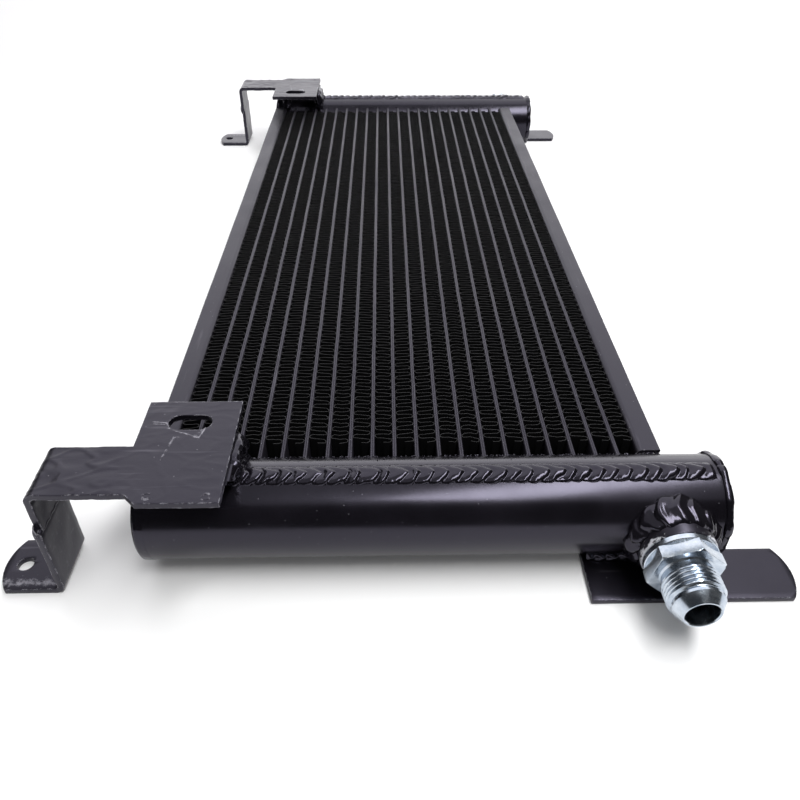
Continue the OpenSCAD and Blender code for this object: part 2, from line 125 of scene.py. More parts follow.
# finishes
def sprayPaint(name, look):
    # Black acrylic sprayed over steel: satin, faintly violet, with orange peel and settled dust.
    # The tone drifts over about 40 mm, and the peel is drawn 2.4 mm wide, coarse enough to show
    material, tree, shader = newMaterial(name)
    place = addNode(tree, "ShaderNodeTexCoord").outputs["Object"]
    drift = addNode(tree, "ShaderNodeTexNoise", {"Vector": place, "Scale": 24, "Detail": 5,
                                                 "Roughness": 0.6})
    tone = addNode(tree, "ShaderNodeValToRGB", {"Fac": drift})
    setRamp(tone, (0.3, look["dark"]), (0.72, look["light"]))
    grain = addNode(tree, "ShaderNodeTexNoise", {"Vector": place, "Scale": 420, "Detail": 4,
                                                 "Roughness": 0.7})
    # dust and nibs of about half a millimetre, on the cells that clean doesn't keep bare
    cells = addNode(tree, "ShaderNodeTexVoronoi", {"Vector": place, "Scale": look["nibs"],
                                                   "Randomness": 1.0})
    near = addNode(tree, "ShaderNodeMath", {0: cells.outputs["Distance"], 1: 0.11}, operation="LESS_THAN")
    pick = addNode(tree, "ShaderNodeSeparateColor", {0: cells.outputs["Color"]})
    some = addNode(tree, "ShaderNodeMath", {0: pick, 1: look["clean"]}, operation="GREATER_THAN")
    nib = addNode(tree, "ShaderNodeMath", {0: near, 1: some}, operation="MULTIPLY")
    nibMix = addNode(tree, "ShaderNodeMath", {0: nib, 1: look["nibLight"]}, operation="MULTIPLY")
    colour = addNode(tree, "ShaderNodeMix", {"Factor": nibMix, "A": tone, "B": hexColour("#a7a6ad")},
                     data_type="RGBA")
    mixOut = colour.outputs["Result"]
    rough = addNode(tree, "ShaderNodeMapRange", {"Value": drift, "From Min": 0.3, "From Max": 0.7,
                                                 "To Min": look["rough"][0], "To Max": look["rough"][1]})
    height = addNode(tree, "ShaderNodeMath", {0: grain, 1: 0.5}, operation="MULTIPLY")
    proud = addNode(tree, "ShaderNodeMath", {0: nib, 1: 1.2, 2: height}, operation="MULTIPLY_ADD")
    if look.get("streaks"):
        # long rolling scratches along the bar, a few tenths of a millimetre wide
        drawn = addNode(tree, "ShaderNodeMapping", {"Vector": place, "Scale": look["streaks"]})
        lines = addNode(tree, "ShaderNodeTexNoise", {"Vector": drawn, "Scale": 260, "Detail": 3,
                                                     "Roughness": 0.55})
        scratch = addNode(tree, "ShaderNodeMapRange", {"Value": lines, "From Min": 0.62, "From Max": 0.74})
        faint = addNode(tree, "ShaderNodeMath", {0: scratch, 1: 0.22}, operation="MULTIPLY")
        colour = addNode(tree, "ShaderNodeMix", {"Factor": faint, "A": mixOut, "B": hexColour("#77757d")},
                         data_type="RGBA")
        mixOut = colour.outputs["Result"]
    if look.get("chips"):
        # paint knocked off along the cut edges down to grey steel, in crumbs of 3 mm and less
        soft = addNode(tree, "ShaderNodeBevel", {"Radius": 0.0011}, samples=4)
        flat = addNode(tree, "ShaderNodeNewGeometry")
        facing = addNode(tree, "ShaderNodeVectorMath", {0: soft, 1: flat.outputs["Normal"]},
                         operation="DOT_PRODUCT")
        edge = addNode(tree, "ShaderNodeMapRange", {"Value": facing.outputs["Value"], "From Min": 0.99,
                                                    "From Max": 0.86})
        crumble = addNode(tree, "ShaderNodeTexNoise", {"Vector": place, "Scale": 300, "Detail": 6,
                                                       "Roughness": 0.75})
        worn = addNode(tree, "ShaderNodeMath", {0: edge, 1: 0.26, 2: crumble}, operation="MULTIPLY_ADD")
        edgeChip = addNode(tree, "ShaderNodeMapRange", {"Value": worn, "From Min": look["chips"],
                                                        "From Max": look["chips"] + 0.03})
        # rubbed patches, and the painted highlight on the bracket's small marks, are marked on the mesh
        # itself
        rubbedAndGlint = addNode(tree, "ShaderNodeAttribute", attribute_name="rubbedAndGlint")
        patchy = addNode(tree, "ShaderNodeMath", {0: rubbedAndGlint.outputs["Fac"], 1: 0.5, 2: crumble},
                         operation="MULTIPLY_ADD")
        rubAndGlint = addNode(tree, "ShaderNodeMapRange", {"Value": patchy, "From Min": 0.74, "From Max": 0.92,
                                                   "To Max": 0.6})
        # edge chips and rubbed patches, with the painted highlight of the bracket's marks
        wearAndGlint = addNode(tree, "ShaderNodeMath", {0: edgeChip, 1: rubAndGlint}, operation="MAXIMUM")
        colour = addNode(tree, "ShaderNodeMix", {"Factor": wearAndGlint, "A": mixOut, "B": hexColour("#a3a2a9")},
                         data_type="RGBA")
        mixOut = colour.outputs["Result"]
    bump = addNode(tree, "ShaderNodeBump", {"Height": proud, "Strength": look["peel"], "Distance": 0.0002})
    tree.links.new(mixOut, shader.inputs["Base Color"])
    tree.links.new(rough.outputs[0], shader.inputs["Roughness"])
    tree.links.new(bump.outputs[0], shader.inputs["Normal"])
    shader.inputs["IOR"].default_value = 1.5
    shader.inputs["Specular Tint"].default_value = hexColour("#e6e1fc")
    return material


tankPaint = sprayPaint("sprayedAcrylicTank", {
    "dark": "#09080b", "light": "#121015", "rough": (0.17, 0.26), "peel": 0.14, "nibs": 470,
    "clean": 0.88, "nibLight": 0.28})
barPaint = sprayPaint("sprayedAcrylicFlatBar", {
    "dark": "#0f0e12", "light": "#19171d", "rough": (0.28, 0.4), "peel": 0.5, "nibs": 420,
    "clean": 0.93, "nibLight": 0.35, "streaks": (0.08, 1, 1), "chips": 0.76})
channelPaint = sprayPaint("sprayedAcrylicChannel", {
    "dark": "#0e0d10", "light": "#19171c", "rough": (0.34, 0.48), "peel": 0.4, "nibs": 400,
    "clean": 0.84, "nibLight": 0.3, "streaks": (1, 0.06, 1), "chips": 0.8})
# the tubes' paint is lighter than the rest: settled dust, and a painted sheen standing in for the
# reflection of the light above
tubeDustAndSheenPaint = sprayPaint("sprayedAcrylicTubeDustAndSheen", {
    "dark": "#1a181d", "light": "#2e2c33", "rough": (0.34, 0.5), "peel": 0.5, "nibs": 500,
    "clean": 0.8, "nibLight": 0.4, "streaks": (1, 0.06, 1)})
weldPaint = sprayPaint("sprayedAcrylicOverWeld", {
    "dark": "#0a090c", "light": "#131116", "rough": (0.11, 0.19), "peel": 0.12, "nibs": 400,
    "clean": 0.96, "nibLight": 0.3})


def finFinish():
    # Rolled aluminium strip, sprayed black from above: the folds' top edges are lighter in 3 mm patches,
    # settled dust together with a painted highlight
    material, tree, shader = newMaterial("oversprayedFinStrip")
    place = addNode(tree, "ShaderNodeTexCoord").outputs["Object"]
    parts = addNode(tree, "ShaderNodeSeparateXYZ", {0: place})
    top = addNode(tree, "ShaderNodeMapRange", {"Value": parts.outputs["Z"], "From Min": finHigh.z - 0.0012,
                                               "From Max": finHigh.z - 0.0001})
    patch = addNode(tree, "ShaderNodeTexNoise", {"Vector": place, "Scale": 330, "Detail": 5,
                                                 "Roughness": 0.7})
    dustAndGlint = addNode(tree, "ShaderNodeMapRange", {"Value": patch, "From Min": 0.42, "From Max": 0.68})
    # painted highlight and dust on the folds' top edges
    lit = addNode(tree, "ShaderNodeMath", {0: top, 1: dustAndGlint}, operation="MULTIPLY")
    colour = addNode(tree, "ShaderNodeMix", {"Factor": lit, "A": hexColour("#060607"),
                                             "B": hexColour("#1f1e22")}, data_type="RGBA")
    bump = addNode(tree, "ShaderNodeBump", {"Height": patch, "Strength": 0.4, "Distance": 0.0002})
    tree.links.new(colour.outputs["Result"], shader.inputs["Base Color"])
    tree.links.new(bump.outputs[0], shader.inputs["Normal"])
    shader.inputs["Roughness"].default_value = 0.5
    return material


def zincFinish(name, portX, portZ):
    # Bright zinc over turned steel, blue passivated: near mirror, with fine tool lines round the axis
    material, tree, shader = newMaterial(name)
    place = addNode(tree, "ShaderNodeTexCoord").outputs["Object"]
    moved = addNode(tree, "ShaderNodeMapping", {"Vector": place, "Location": (-portX, 0, -portZ)})
    parts = addNode(tree, "ShaderNodeSeparateXYZ", {0: moved})
    flat = addNode(tree, "ShaderNodeCombineXYZ", {"X": parts.outputs["X"], "Y": parts.outputs["Z"]})
    reach = addNode(tree, "ShaderNodeVectorMath", {0: flat}, operation="LENGTH")
    rings = addNode(tree, "ShaderNodeCombineXYZ", {"X": reach.outputs["Value"], "Y": parts.outputs["Y"]})
    # tool lines about 0.2 mm apart, over a bloom in clouds of 7 mm
    turned = addNode(tree, "ShaderNodeTexNoise", {"Vector": rings, "Scale": 5200, "Detail": 2})
    cloud = addNode(tree, "ShaderNodeTexNoise", {"Vector": place, "Scale": 150, "Detail": 5,
                                                 "Roughness": 0.65})
    tone = addNode(tree, "ShaderNodeValToRGB", {"Fac": cloud})
    setRamp(tone, (0.32, "#9ca8b7"), (0.66, "#cdd4dc"))
    rough = addNode(tree, "ShaderNodeMapRange", {"Value": cloud, "From Min": 0.35, "From Max": 0.65,
                                                 "To Min": 0.16, "To Max": 0.28})
    mixed = addNode(tree, "ShaderNodeMath", {0: cloud, 1: 0.6, 2: turned}, operation="MULTIPLY_ADD")
    bump = addNode(tree, "ShaderNodeBump", {"Height": mixed, "Strength": 0.04, "Distance": 0.0001})
    tree.links.new(tone.outputs[0], shader.inputs["Base Color"])
    tree.links.new(rough.outputs[0], shader.inputs["Roughness"])
    tree.links.new(bump.outputs[0], shader.inputs["Normal"])
    shader.inputs["Metallic"].default_value = 1.0
    return material


def bossFinish(faceY, portX):
    # The same black spray over a turned boss, flaked off in bright crumbs of up to 4 mm where the
    # adapter was tightened
    material = sprayPaint("flakedAcrylicBoss", {
        "dark": "#121115", "light": "#1b191f", "rough": (0.28, 0.42), "peel": 0.4, "nibs": 260,
        "clean": 0.85, "nibLight": 0.4})
    tree = material.node_tree
    shader = tree.nodes["Principled BSDF"]
    under = shader.inputs["Base Color"].links[0].from_socket
    place = addNode(tree, "ShaderNodeTexCoord").outputs["Object"]
    parts = addNode(tree, "ShaderNodeSeparateXYZ", {0: place})
    out = addNode(tree, "ShaderNodeMath", {0: parts.outputs["Y"]}, operation="ABSOLUTE")
    rim = addNode(tree, "ShaderNodeMapRange", {"Value": out, "From Min": faceY - 0.0065, "From Max": faceY})
    crumbs = addNode(tree, "ShaderNodeTexNoise", {"Vector": place, "Scale": 260, "Detail": 6,
                                                  "Roughness": 0.75})
    off = addNode(tree, "ShaderNodeMath", {0: parts.outputs["X"], 1: portX}, operation="SUBTRACT")
    side = addNode(tree, "ShaderNodeMath", {0: off}, operation="ABSOLUTE")
    flank = addNode(tree, "ShaderNodeMapRange", {"Value": side, "From Min": 0.009, "From Max": 0.016})
    rimBias = addNode(tree, "ShaderNodeMath", {0: rim, 1: 0.16, 2: crumbs}, operation="MULTIPLY_ADD")
    flankRim = addNode(tree, "ShaderNodeMath", {0: flank, 1: rim}, operation="MULTIPLY")
    bias = addNode(tree, "ShaderNodeMath", {0: flankRim, 1: 0.2, 2: rimBias}, operation="MULTIPLY_ADD")
    flake = addNode(tree, "ShaderNodeMapRange", {"Value": bias, "From Min": 0.73, "From Max": 0.76})
    colour = addNode(tree, "ShaderNodeMix", {"Factor": flake, "A": under, "B": hexColour("#c9cbd2")},
                     data_type="RGBA")
    tree.links.new(colour.outputs["Result"], shader.inputs["Base Color"])
    return material


def rubberFinish():
    # Moulded nitrile: matt black with a faint bloom in 3 mm clouds
    material, tree, shader = newMaterial("mouldedNitrile")
    place = addNode(tree, "ShaderNodeTexCoord").outputs["Object"]
    bloom = addNode(tree, "ShaderNodeTexNoise", {"Vector": place, "Scale": 300, "Detail": 4})
    tone = addNode(tree, "ShaderNodeValToRGB", {"Fac": bloom})
    setRamp(tone, (0.35, "#0e0e0f"), (0.7, "#19191b"))
    tree.links.new(tone.outputs[0], shader.inputs["Base Color"])
    shader.inputs["Roughness"].default_value = 0.6
    return material


def stripFinish():
    # Rolled aluminium strip, wet with oil: bright, with rolling lines about 1 mm apart along it
    material, tree, shader = newMaterial("rolledAluminiumStrip")
    place = addNode(tree, "ShaderNodeTexCoord").outputs["Object"]
    drawn = addNode(tree, "ShaderNodeMapping", {"Vector": place, "Scale": (1, 0.05, 1)})
    lines = addNode(tree, "ShaderNodeTexNoise", {"Vector": drawn, "Scale": 900, "Detail": 3})
    tone = addNode(tree, "ShaderNodeValToRGB", {"Fac": lines})
    setRamp(tone, (0.3, "#9a9b9f"), (0.7, "#c0c1c4"))
    tree.links.new(tone.outputs[0], shader.inputs["Base Color"])
    shader.inputs["Metallic"].default_value = 1.0
    shader.inputs["Roughness"].default_value = 0.28
    return material


finStripPaint = finFinish()
nitrile = rubberFinish()
aluminiumStrip = stripFinish()
print("finishes made")


# mesh work
def newPiece(name, points, faces):
    mesh = bpy.data.meshes.new(name)
    mesh.from_pydata([Vector(p) for p in points], [], faces)
    piece = bpy.data.objects.new(name, mesh)
    scene.collection.objects.link(piece)
    return piece


def tidyMesh(piece, merge=0.0005):
    # merges doubles and turns every face outwards
    work = bmesh.new()
    work.from_mesh(piece.data)
    bmesh.ops.remove_doubles(work, verts=work.verts, dist=merge)
    bmesh.ops.recalc_face_normals(work, faces=work.faces)
    work.to_mesh(piece.data)
    work.free()


def ringSolid(name, rings, closedPath=False):
    # skins a row of closed rings; an open row gets a flat end at each end
    size = len(rings[0])
    points = [p for ring in rings for p in ring]
    faces = []
    count = len(rings)
    for i in range(count if closedPath else count - 1):
        a, b = i * size, (i + 1) % count * size
        for j in range(size):
            k = (j + 1) % size
            faces.append((a + j, a + k, b + k, b + j))
    if not closedPath:
        faces.append(tuple(range(size)))
        faces.append(tuple(range((count - 1) * size, count * size)))
    piece = newPiece(name, points, faces)
    tidyMesh(piece)
    return piece


def prism(name, outline, low, high, axis="z"):
    # a flat outline pulled along one axis
    def lift(p, t):
        return {"z": (p[0], p[1], t), "x": (t, p[0], p[1]), "y": (p[0], t, p[1])}[axis]
    return ringSolid(name, [[lift(p, low) for p in outline], [lift(p, high) for p in outline]])


def settle(piece):
    # the evaluated shape becomes the piece's own mesh
    graph = bpy.context.evaluated_depsgraph_get()
    plain = bpy.data.meshes.new_from_object(piece.evaluated_get(graph))
    piece.modifiers.clear()
    piece.data = plain


def carve(piece, tool, kind="DIFFERENCE"):
    step = piece.modifiers.new("carve", "BOOLEAN")
    step.operation = kind
    step.solver = "EXACT"
    step.object = tool
    settle(piece)
    bpy.data.objects.remove(tool)


def easeEdges(piece, width, segments=2, angle=35):
    step = piece.modifiers.new("ease", "BEVEL")
    step.width = width
    step.segments = segments
    step.limit_method = "ANGLE"
    step.angle_limit = math.radians(angle)
    step.harden_normals = False
    settle(piece)


def dice(piece, step):
    # cuts the faces into cells of about step, so that dents can follow
    work = bmesh.new()
    work.from_mesh(piece.data)
    for axis in range(3):
        low = min(v.co[axis] for v in work.verts)
        high = max(v.co[axis] for v in work.verts)
        cuts = int((high - low) / step)
        side = Vector([1 if i == axis else 0 for i in range(3)])
        for i in range(1, cuts):
            spot = side * (low + (high - low) * i / cuts)
            bmesh.ops.bisect_plane(work, geom=work.verts[:] + work.edges[:] + work.faces[:],
                                   plane_co=spot, plane_no=side, dist=0.01)
    work.to_mesh(piece.data)
    work.free()


def dent(piece, push):
    for v in piece.data.vertices:
        v.co += push(v.co)


def setInRow(piece, end):
    # millimetres about one tank, or about the core, to metres in the row frame
    way = -1 if end == "far" else 1
    shift = 0 if end == "core" else -way * tank["axisY"] * mm
    piece.data.transform(Matrix(((mm, 0, 0, coreX * mm), (0, way * mm, 0, shift), (0, 0, mm, 0),
                                 (0, 0, 0, 1))))
    if way < 0:
        piece.data.flip_normals()


def joinPieces(pieces):
    first = pieces[0]
    work = bmesh.new()
    for piece in pieces:
        work.from_mesh(piece.data)
    for piece in pieces[1:]:
        bpy.data.objects.remove(piece)
    work.to_mesh(first.data)
    work.free()
    for label in ("along", "over", "lift", "side"):
        layer = first.data.attributes.get(label)
        if layer:
            first.data.attributes.remove(layer)
    return first


def fitOut(piece, cadNode, finish, sharp=35):
    piece.data.name = piece.name
    piece.data.materials.clear()
    piece.data.materials.append(finish)
    piece.data.shade_smooth()
    piece.data.set_sharp_from_angle(angle=math.radians(sharp))
    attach(piece, "root")
    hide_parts(cadNode)


def bothEnds(pattern, part, cadPart, finish, sharp=35):
    # one pattern makes the near piece and its mirror image at the far end
    for end in ("near", "far"):
        piece = bpy.data.objects.new(end + part, pattern.data.copy())
        scene.collection.objects.link(piece)
        setInRow(piece, end)
        fitOut(piece, end + "_" + cadPart, finish, sharp)
    bpy.data.objects.remove(pattern)


def newTree(name, sockets):
    # sockets are (name, kind); the first output is the geometry
    tree = bpy.data.node_groups.new(name, "GeometryNodeTree")
    tree.interface.new_socket("Geometry", in_out="OUTPUT", socket_type="NodeSocketGeometry")
    for label, kind in sockets:
        tree.interface.new_socket(label, in_out="INPUT", socket_type="NodeSocket" + kind)
    return tree, tree.nodes.new("NodeGroupInput").outputs, tree.nodes.new("NodeGroupOutput").inputs


def growNodes(piece, tree, values):
    step = piece.modifiers.new(tree.name, "NODES")
    step.node_group = tree
    for item in tree.interface.items_tree:
        if item.in_out == "INPUT" and item.name in values:
            step[item.identifier] = values[item.name]
    settle(piece)


def arc(cx, cy, r, start, stop, count):
    return [(cx + r * math.cos(math.radians(start + (stop - start) * i / count)),
             cy + r * math.sin(math.radians(start + (stop - start) * i / count))) for i in range(count + 1)]


def tankPoint(x, angle, r):
    # angle in degrees from the top line, growing towards the front
    a = math.radians(angle)
    return (x, -r * math.sin(a), tank["axisZ"] + r * math.cos(a))


# air fins: one pleated strip in each of the 21 gaps
fins = {"strips": 21, "pitch": 11.45, "width": 8.9, "legs": 172, "step": 3.2, "sheet": 0.2, "height": 37.0,
        "wander": 0.2, "seed": 7, "perLeg": 6, "squareness": 0.55, "lean": -0.143, "rowShift": 4.0}


def pleatTree():
    tree, given, made = newTree("pleatedFins", [
        ("Geometry", "Geometry"), ("Strips", "Int"), ("Pitch", "Float"), ("Width", "Float"),
        ("Legs", "Int"), ("Step", "Float"), ("Sheet", "Float"), ("Height", "Float"), ("Wander", "Float"),
        ("Seed", "Float"), ("Finish", "Material")])
    perLeg = fins["perLeg"]
    count = addNode(tree, "ShaderNodeMath", {0: given["Legs"], 1: perLeg, 2: 1.0}, operation="MULTIPLY_ADD")
    line = addNode(tree, "GeometryNodeMeshLine", {"Count": count})
    index = addNode(tree, "GeometryNodeInputIndex")
    t = addNode(tree, "ShaderNodeMath", {0: index, 1: float(perLeg)}, operation="DIVIDE")
    halfTurn = addNode(tree, "ShaderNodeMath", {0: t, 1: math.pi}, operation="MULTIPLY")
    wave = addNode(tree, "ShaderNodeMath", {0: halfTurn}, operation="SINE")
    size = addNode(tree, "ShaderNodeMath", {0: wave}, operation="ABSOLUTE")
    square = addNode(tree, "ShaderNodeMath", {0: size, 1: fins["squareness"]}, operation="POWER")
    sign = addNode(tree, "ShaderNodeMath", {0: wave}, operation="SIGN")
    swing = addNode(tree, "ShaderNodeMath", {0: square, 1: sign}, operation="MULTIPLY")
    half = addNode(tree, "ShaderNodeMath", {0: given["Width"], 1: 0.5}, operation="MULTIPLY")
    x = addNode(tree, "ShaderNodeMath", {0: swing, 1: half}, operation="MULTIPLY")
    fullTurn = addNode(tree, "ShaderNodeMath", {0: t, 1: 2 * math.pi}, operation="MULTIPLY")
    ripple = addNode(tree, "ShaderNodeMath", {0: fullTurn}, operation="SINE")
    lean = addNode(tree, "ShaderNodeMath", {0: ripple, 1: fins["lean"], 2: t}, operation="MULTIPLY_ADD")
    middle = addNode(tree, "ShaderNodeMath", {0: given["Legs"], 1: 0.5}, operation="MULTIPLY")
    centred = addNode(tree, "ShaderNodeMath", {0: lean, 1: middle}, operation="SUBTRACT")
    y = addNode(tree, "ShaderNodeMath", {0: centred, 1: given["Step"]}, operation="MULTIPLY")
    spot = addNode(tree, "ShaderNodeCombineXYZ", {"X": x, "Y": y})
    bent = addNode(tree, "GeometryNodeSetPosition", {"Geometry": line, "Position": spot})
    curve = addNode(tree, "GeometryNodeMeshToCurve", {0: bent})
    upright = addNode(tree, "GeometryNodeSetCurveNormal", {0: curve}, mode="Z_UP")
    section = addNode(tree, "GeometryNodeCurvePrimitiveQuadrilateral", {"Width": given["Sheet"],
                                                                        "Height": given["Height"]})
    strip = addNode(tree, "GeometryNodeCurveToMesh", {"Curve": upright, "Profile Curve": section,
                                                      "Fill Caps": True})
    gap = addNode(tree, "ShaderNodeCombineXYZ", {"X": given["Pitch"]})
    reach = addNode(tree, "ShaderNodeMath", {0: given["Strips"], 1: 1.0}, operation="SUBTRACT")
    back = addNode(tree, "ShaderNodeMath", {0: reach, 1: -0.5}, operation="MULTIPLY")
    left = addNode(tree, "ShaderNodeMath", {0: back, 1: given["Pitch"]}, operation="MULTIPLY")
    start = addNode(tree, "ShaderNodeCombineXYZ", {"X": left})
    places = addNode(tree, "GeometryNodeMeshLine", {"Count": given["Strips"], "Start Location": start,
                                                    "Offset": gap})
    rows = addNode(tree, "GeometryNodeInstanceOnPoints", {"Points": places, "Instance": strip})
    whole = addNode(tree, "GeometryNodeRealizeInstances", {0: rows})
    here = addNode(tree, "GeometryNodeInputPosition")
    slow = addNode(tree, "ShaderNodeVectorMath", {0: here, 1: (0.5, 0.22, 0.03)}, operation="MULTIPLY")
    stir = addNode(tree, "ShaderNodeTexNoise", {"Vector": slow, "W": given["Seed"], "Scale": 1.0,
                                                "Detail": 1.0}, noise_dimensions="4D")
    spread = addNode(tree, "ShaderNodeVectorMath", {0: stir.outputs["Color"], 1: (0.5, 0.5, 0.5)},
                     operation="SUBTRACT")
    only = addNode(tree, "ShaderNodeVectorMath", {0: spread, 1: (0.15, 2.0, 0.5)}, operation="MULTIPLY")
    sized = addNode(tree, "ShaderNodeVectorMath", {0: only, "Scale": given["Wander"]}, operation="SCALE")
    rowOnly = addNode(tree, "ShaderNodeVectorMath", {0: here, 1: (0.31, 0.0, 0.0)}, operation="MULTIPLY")
    rowStir = addNode(tree, "ShaderNodeTexNoise", {"Vector": rowOnly, "W": 3.3, "Scale": 1.0},
                      noise_dimensions="4D")
    rowShift = addNode(tree, "ShaderNodeMath", {0: rowStir, 1: fins["rowShift"], 2: -fins["rowShift"] / 2},
                       operation="MULTIPLY_ADD")
    rowMove = addNode(tree, "ShaderNodeCombineXYZ", {"Y": rowShift})
    total = addNode(tree, "ShaderNodeVectorMath", {0: sized, 1: rowMove}, operation="ADD")
    moved = addNode(tree, "GeometryNodeSetPosition", {"Geometry": whole, "Offset": total})
    painted = addNode(tree, "GeometryNodeSetMaterial", {"Geometry": moved, "Material": given["Finish"]})
    tree.links.new(painted.outputs[0], made[0])
    return tree


airFins = newPiece("airFins", [(0, 0, 0)], [])
growNodes(airFins, pleatTree(), {
    "Strips": fins["strips"], "Pitch": fins["pitch"], "Width": fins["width"], "Legs": fins["legs"],
    "Step": fins["step"], "Sheet": fins["sheet"], "Height": fins["height"], "Wander": fins["wander"],
    "Seed": float(fins["seed"]), "Finish": finStripPaint})
airFins.data.transform(Matrix.Translation((0, 0, tank["axisZ"])))
setInRow(airFins, "core")
fitOut(airFins, "air_fins", finStripPaint, sharp=50)
print("air fins:", len(airFins.data.polygons), "faces")

# oil tubes: flat ovals with the folded seam showing as a shallow groove on each narrow edge
tubes = {"count": 20, "pitch": fins["pitch"], "half": 1.2, "depth": 38.0, "reach": tank["axisY"] - 10,
         "groove": 0.5, "grooveWidth": 0.32, "wander": 0.16, "stations": 96, "held": 14, "ease": 20}


def tubeRing(y, shift):
    straight = tubes["depth"] / 2 - tubes["half"]
    ring = []
    for side in (1, -1):
        for i in range(17):
            a = math.pi * i / 16
            x = tubes["half"] * math.cos(a) * side
            fold = tubes["groove"] * math.exp(-(x / tubes["grooveWidth"]) ** 2)
            z = side * (straight + tubes["half"] * math.sin(a) - fold)
            ring.append((x + shift, y, tank["axisZ"] + z))
    return ring


for number in range(tubes["count"]):
    middle = (number - (tubes["count"] - 1) / 2) * tubes["pitch"]
    rings = []
    for i in range(tubes["stations"] + 1):
        y = tubes["reach"] * (2 * i / tubes["stations"] - 1)
        # straight inside the headers
        hold = min(1, max(0, (tubes["reach"] - abs(y) - tubes["held"]) / tubes["ease"]))
        sway = hold * tubes["wander"] * noise.noise((y / 16, number * 3.1, 0.5))
        rings.append(tubeRing(y, middle + sway))
    tube = ringSolid("oilTube%02d" % (number + 1), rings)
    setInRow(tube, "core")
    fitOut(tube, "oil_tube_%02d" % (number + 1), tubeDustAndSheenPaint, sharp=60)
print("oil tubes done")

# side channels
channel = {"web": 119.025, "flange": 12.0, "height": 39.0, "sheet": 2.0, "bend": 3.0, "reach": 284.4,
           "stations": 70, "ease": 0.35}


def channelRing(y):
    low, high = -channel["height"] / 2, channel["height"] / 2
    t, r, w, e = channel["sheet"], channel["bend"], channel["flange"], channel["ease"]
    ring = []
    ring += [(w - e, low), (w, low + e), (w, low + t - e), (w - e, low + t)]
    ring += arc(r, low + r, r - t, 270, 180, 4) + arc(r, high - r, r - t, 180, 90, 4)
    ring += [(w - e, high - t), (w, high - t + e), (w, high - e), (w - e, high)]
    ring += arc(r, high - r, r, 90, 180, 8) + arc(r, low + r, r, 180, 270, 8)
    bow = 0.25 * noise.noise((y / 60, 4.2, 1.0))
    return [(channel["web"] + p[0] + bow * max(0, (p[0] - t) / w), y, tank["axisZ"] + p[1]) for p in ring]


def tankCutter(y, radius):
    rings = []
    for x in (-300, 300):
        rings.append([(x, y + radius * math.sin(math.radians(3 * i)),
                       tank["axisZ"] + radius * math.cos(math.radians(3 * i))) for i in range(120)])
    return ringSolid("cutter", rings)


rail = ringSolid("rail", [channelRing(channel["reach"] * (2 * i / channel["stations"] - 1))
                          for i in range(channel["stations"] + 1)])
for side in (-1, 1):
    carve(rail, tankCutter(side * tank["axisY"], tank["radius"]))
for name, way in (("right", 1), ("left", -1)):
    piece = bpy.data.objects.new(name + "SideChannel", rail.data.copy())
    scene.collection.objects.link(piece)
    if way < 0:
        piece.data.transform(Matrix.Diagonal((-1, 1, 1, 1)))
        piece.data.flip_normals()
    setInRow(piece, "core")
    fitOut(piece, name + "_side_channel", channelPaint, sharp=40)
bpy.data.objects.remove(rail)
print("side channels done")

# tank: front shell, header and end caps
port = {"x": 128.4, "boss": 18.0, "reach": 35.0, "bore": 13.545, "seat": 14.8, "seatDepth": 3.2}


def shellRing(x, start, stop, count):
    outer, inner = tank["radius"], tank["radius"] - tank["wall"]
    turns = [start + (stop - start) * i / count for i in range(count + 1)]
    ring = []
    for a in turns:
        spot = Vector((0, math.sin(math.radians(a)), math.cos(math.radians(a)))) * tank["dentTurn"]
        dip = tank["dent"] * noise.noise((x / tank["dentLength"], spot.y, spot.z))
        ring.append(tankPoint(x, a, outer + dip - tank["dent"] / 2))
    return ring + [tankPoint(x, a, inner) for a in reversed(turns)]


def shell(name, start, stop, count):
    stations = 90
    low, high = tank["shellLeft"], tank["shellRight"]
    return ringSolid(name, [shellRing(low + (high - low) * i / stations, start, stop, count)
                            for i in range(stations + 1)])


def roundBar(name, cx, cz, r, y0, y1, count=72):
    ring = [(cx + r * math.cos(2 * math.pi * i / count), cz + r * math.sin(2 * math.pi * i / count))
            for i in range(count)]
    return ringSolid(name, [[(p[0], y, p[1]) for p in ring] for y in (y0, y1)])


front = shell("front", tank["seamAngle"], 180 - tank["seamAngle"], 64)
carve(front, roundBar("cutter", port["x"], tank["axisZ"], port["bore"], -40, 0))
bothEnds(front, "TankShell", "tank_shell", tankPaint, sharp=40)

header = shell("header", tank["seamAngle"], -180 - tank["seamAngle"], 80)
slotPoints, slotFaces = [], []
for number in range(tubes["count"]):
    middle = (number - (tubes["count"] - 1) / 2) * tubes["pitch"]
    ring = [(p[0], p[2]) for p in tubeRing(0, middle)]
    base = len(slotPoints)
    size = len(ring)
    slotPoints += [(p[0], y, p[1]) for y in (4, 40) for p in ring]
    slotFaces += [(base + j, base + (j + 1) % size, base + size + (j + 1) % size, base + size + j)
                  for j in range(size)]
    slotFaces += [tuple(range(base, base + size)), tuple(range(base + size, base + 2 * size))]
slots = newPiece("slots", slotPoints, slotFaces)
tidyMesh(slots)
carve(header, slots)


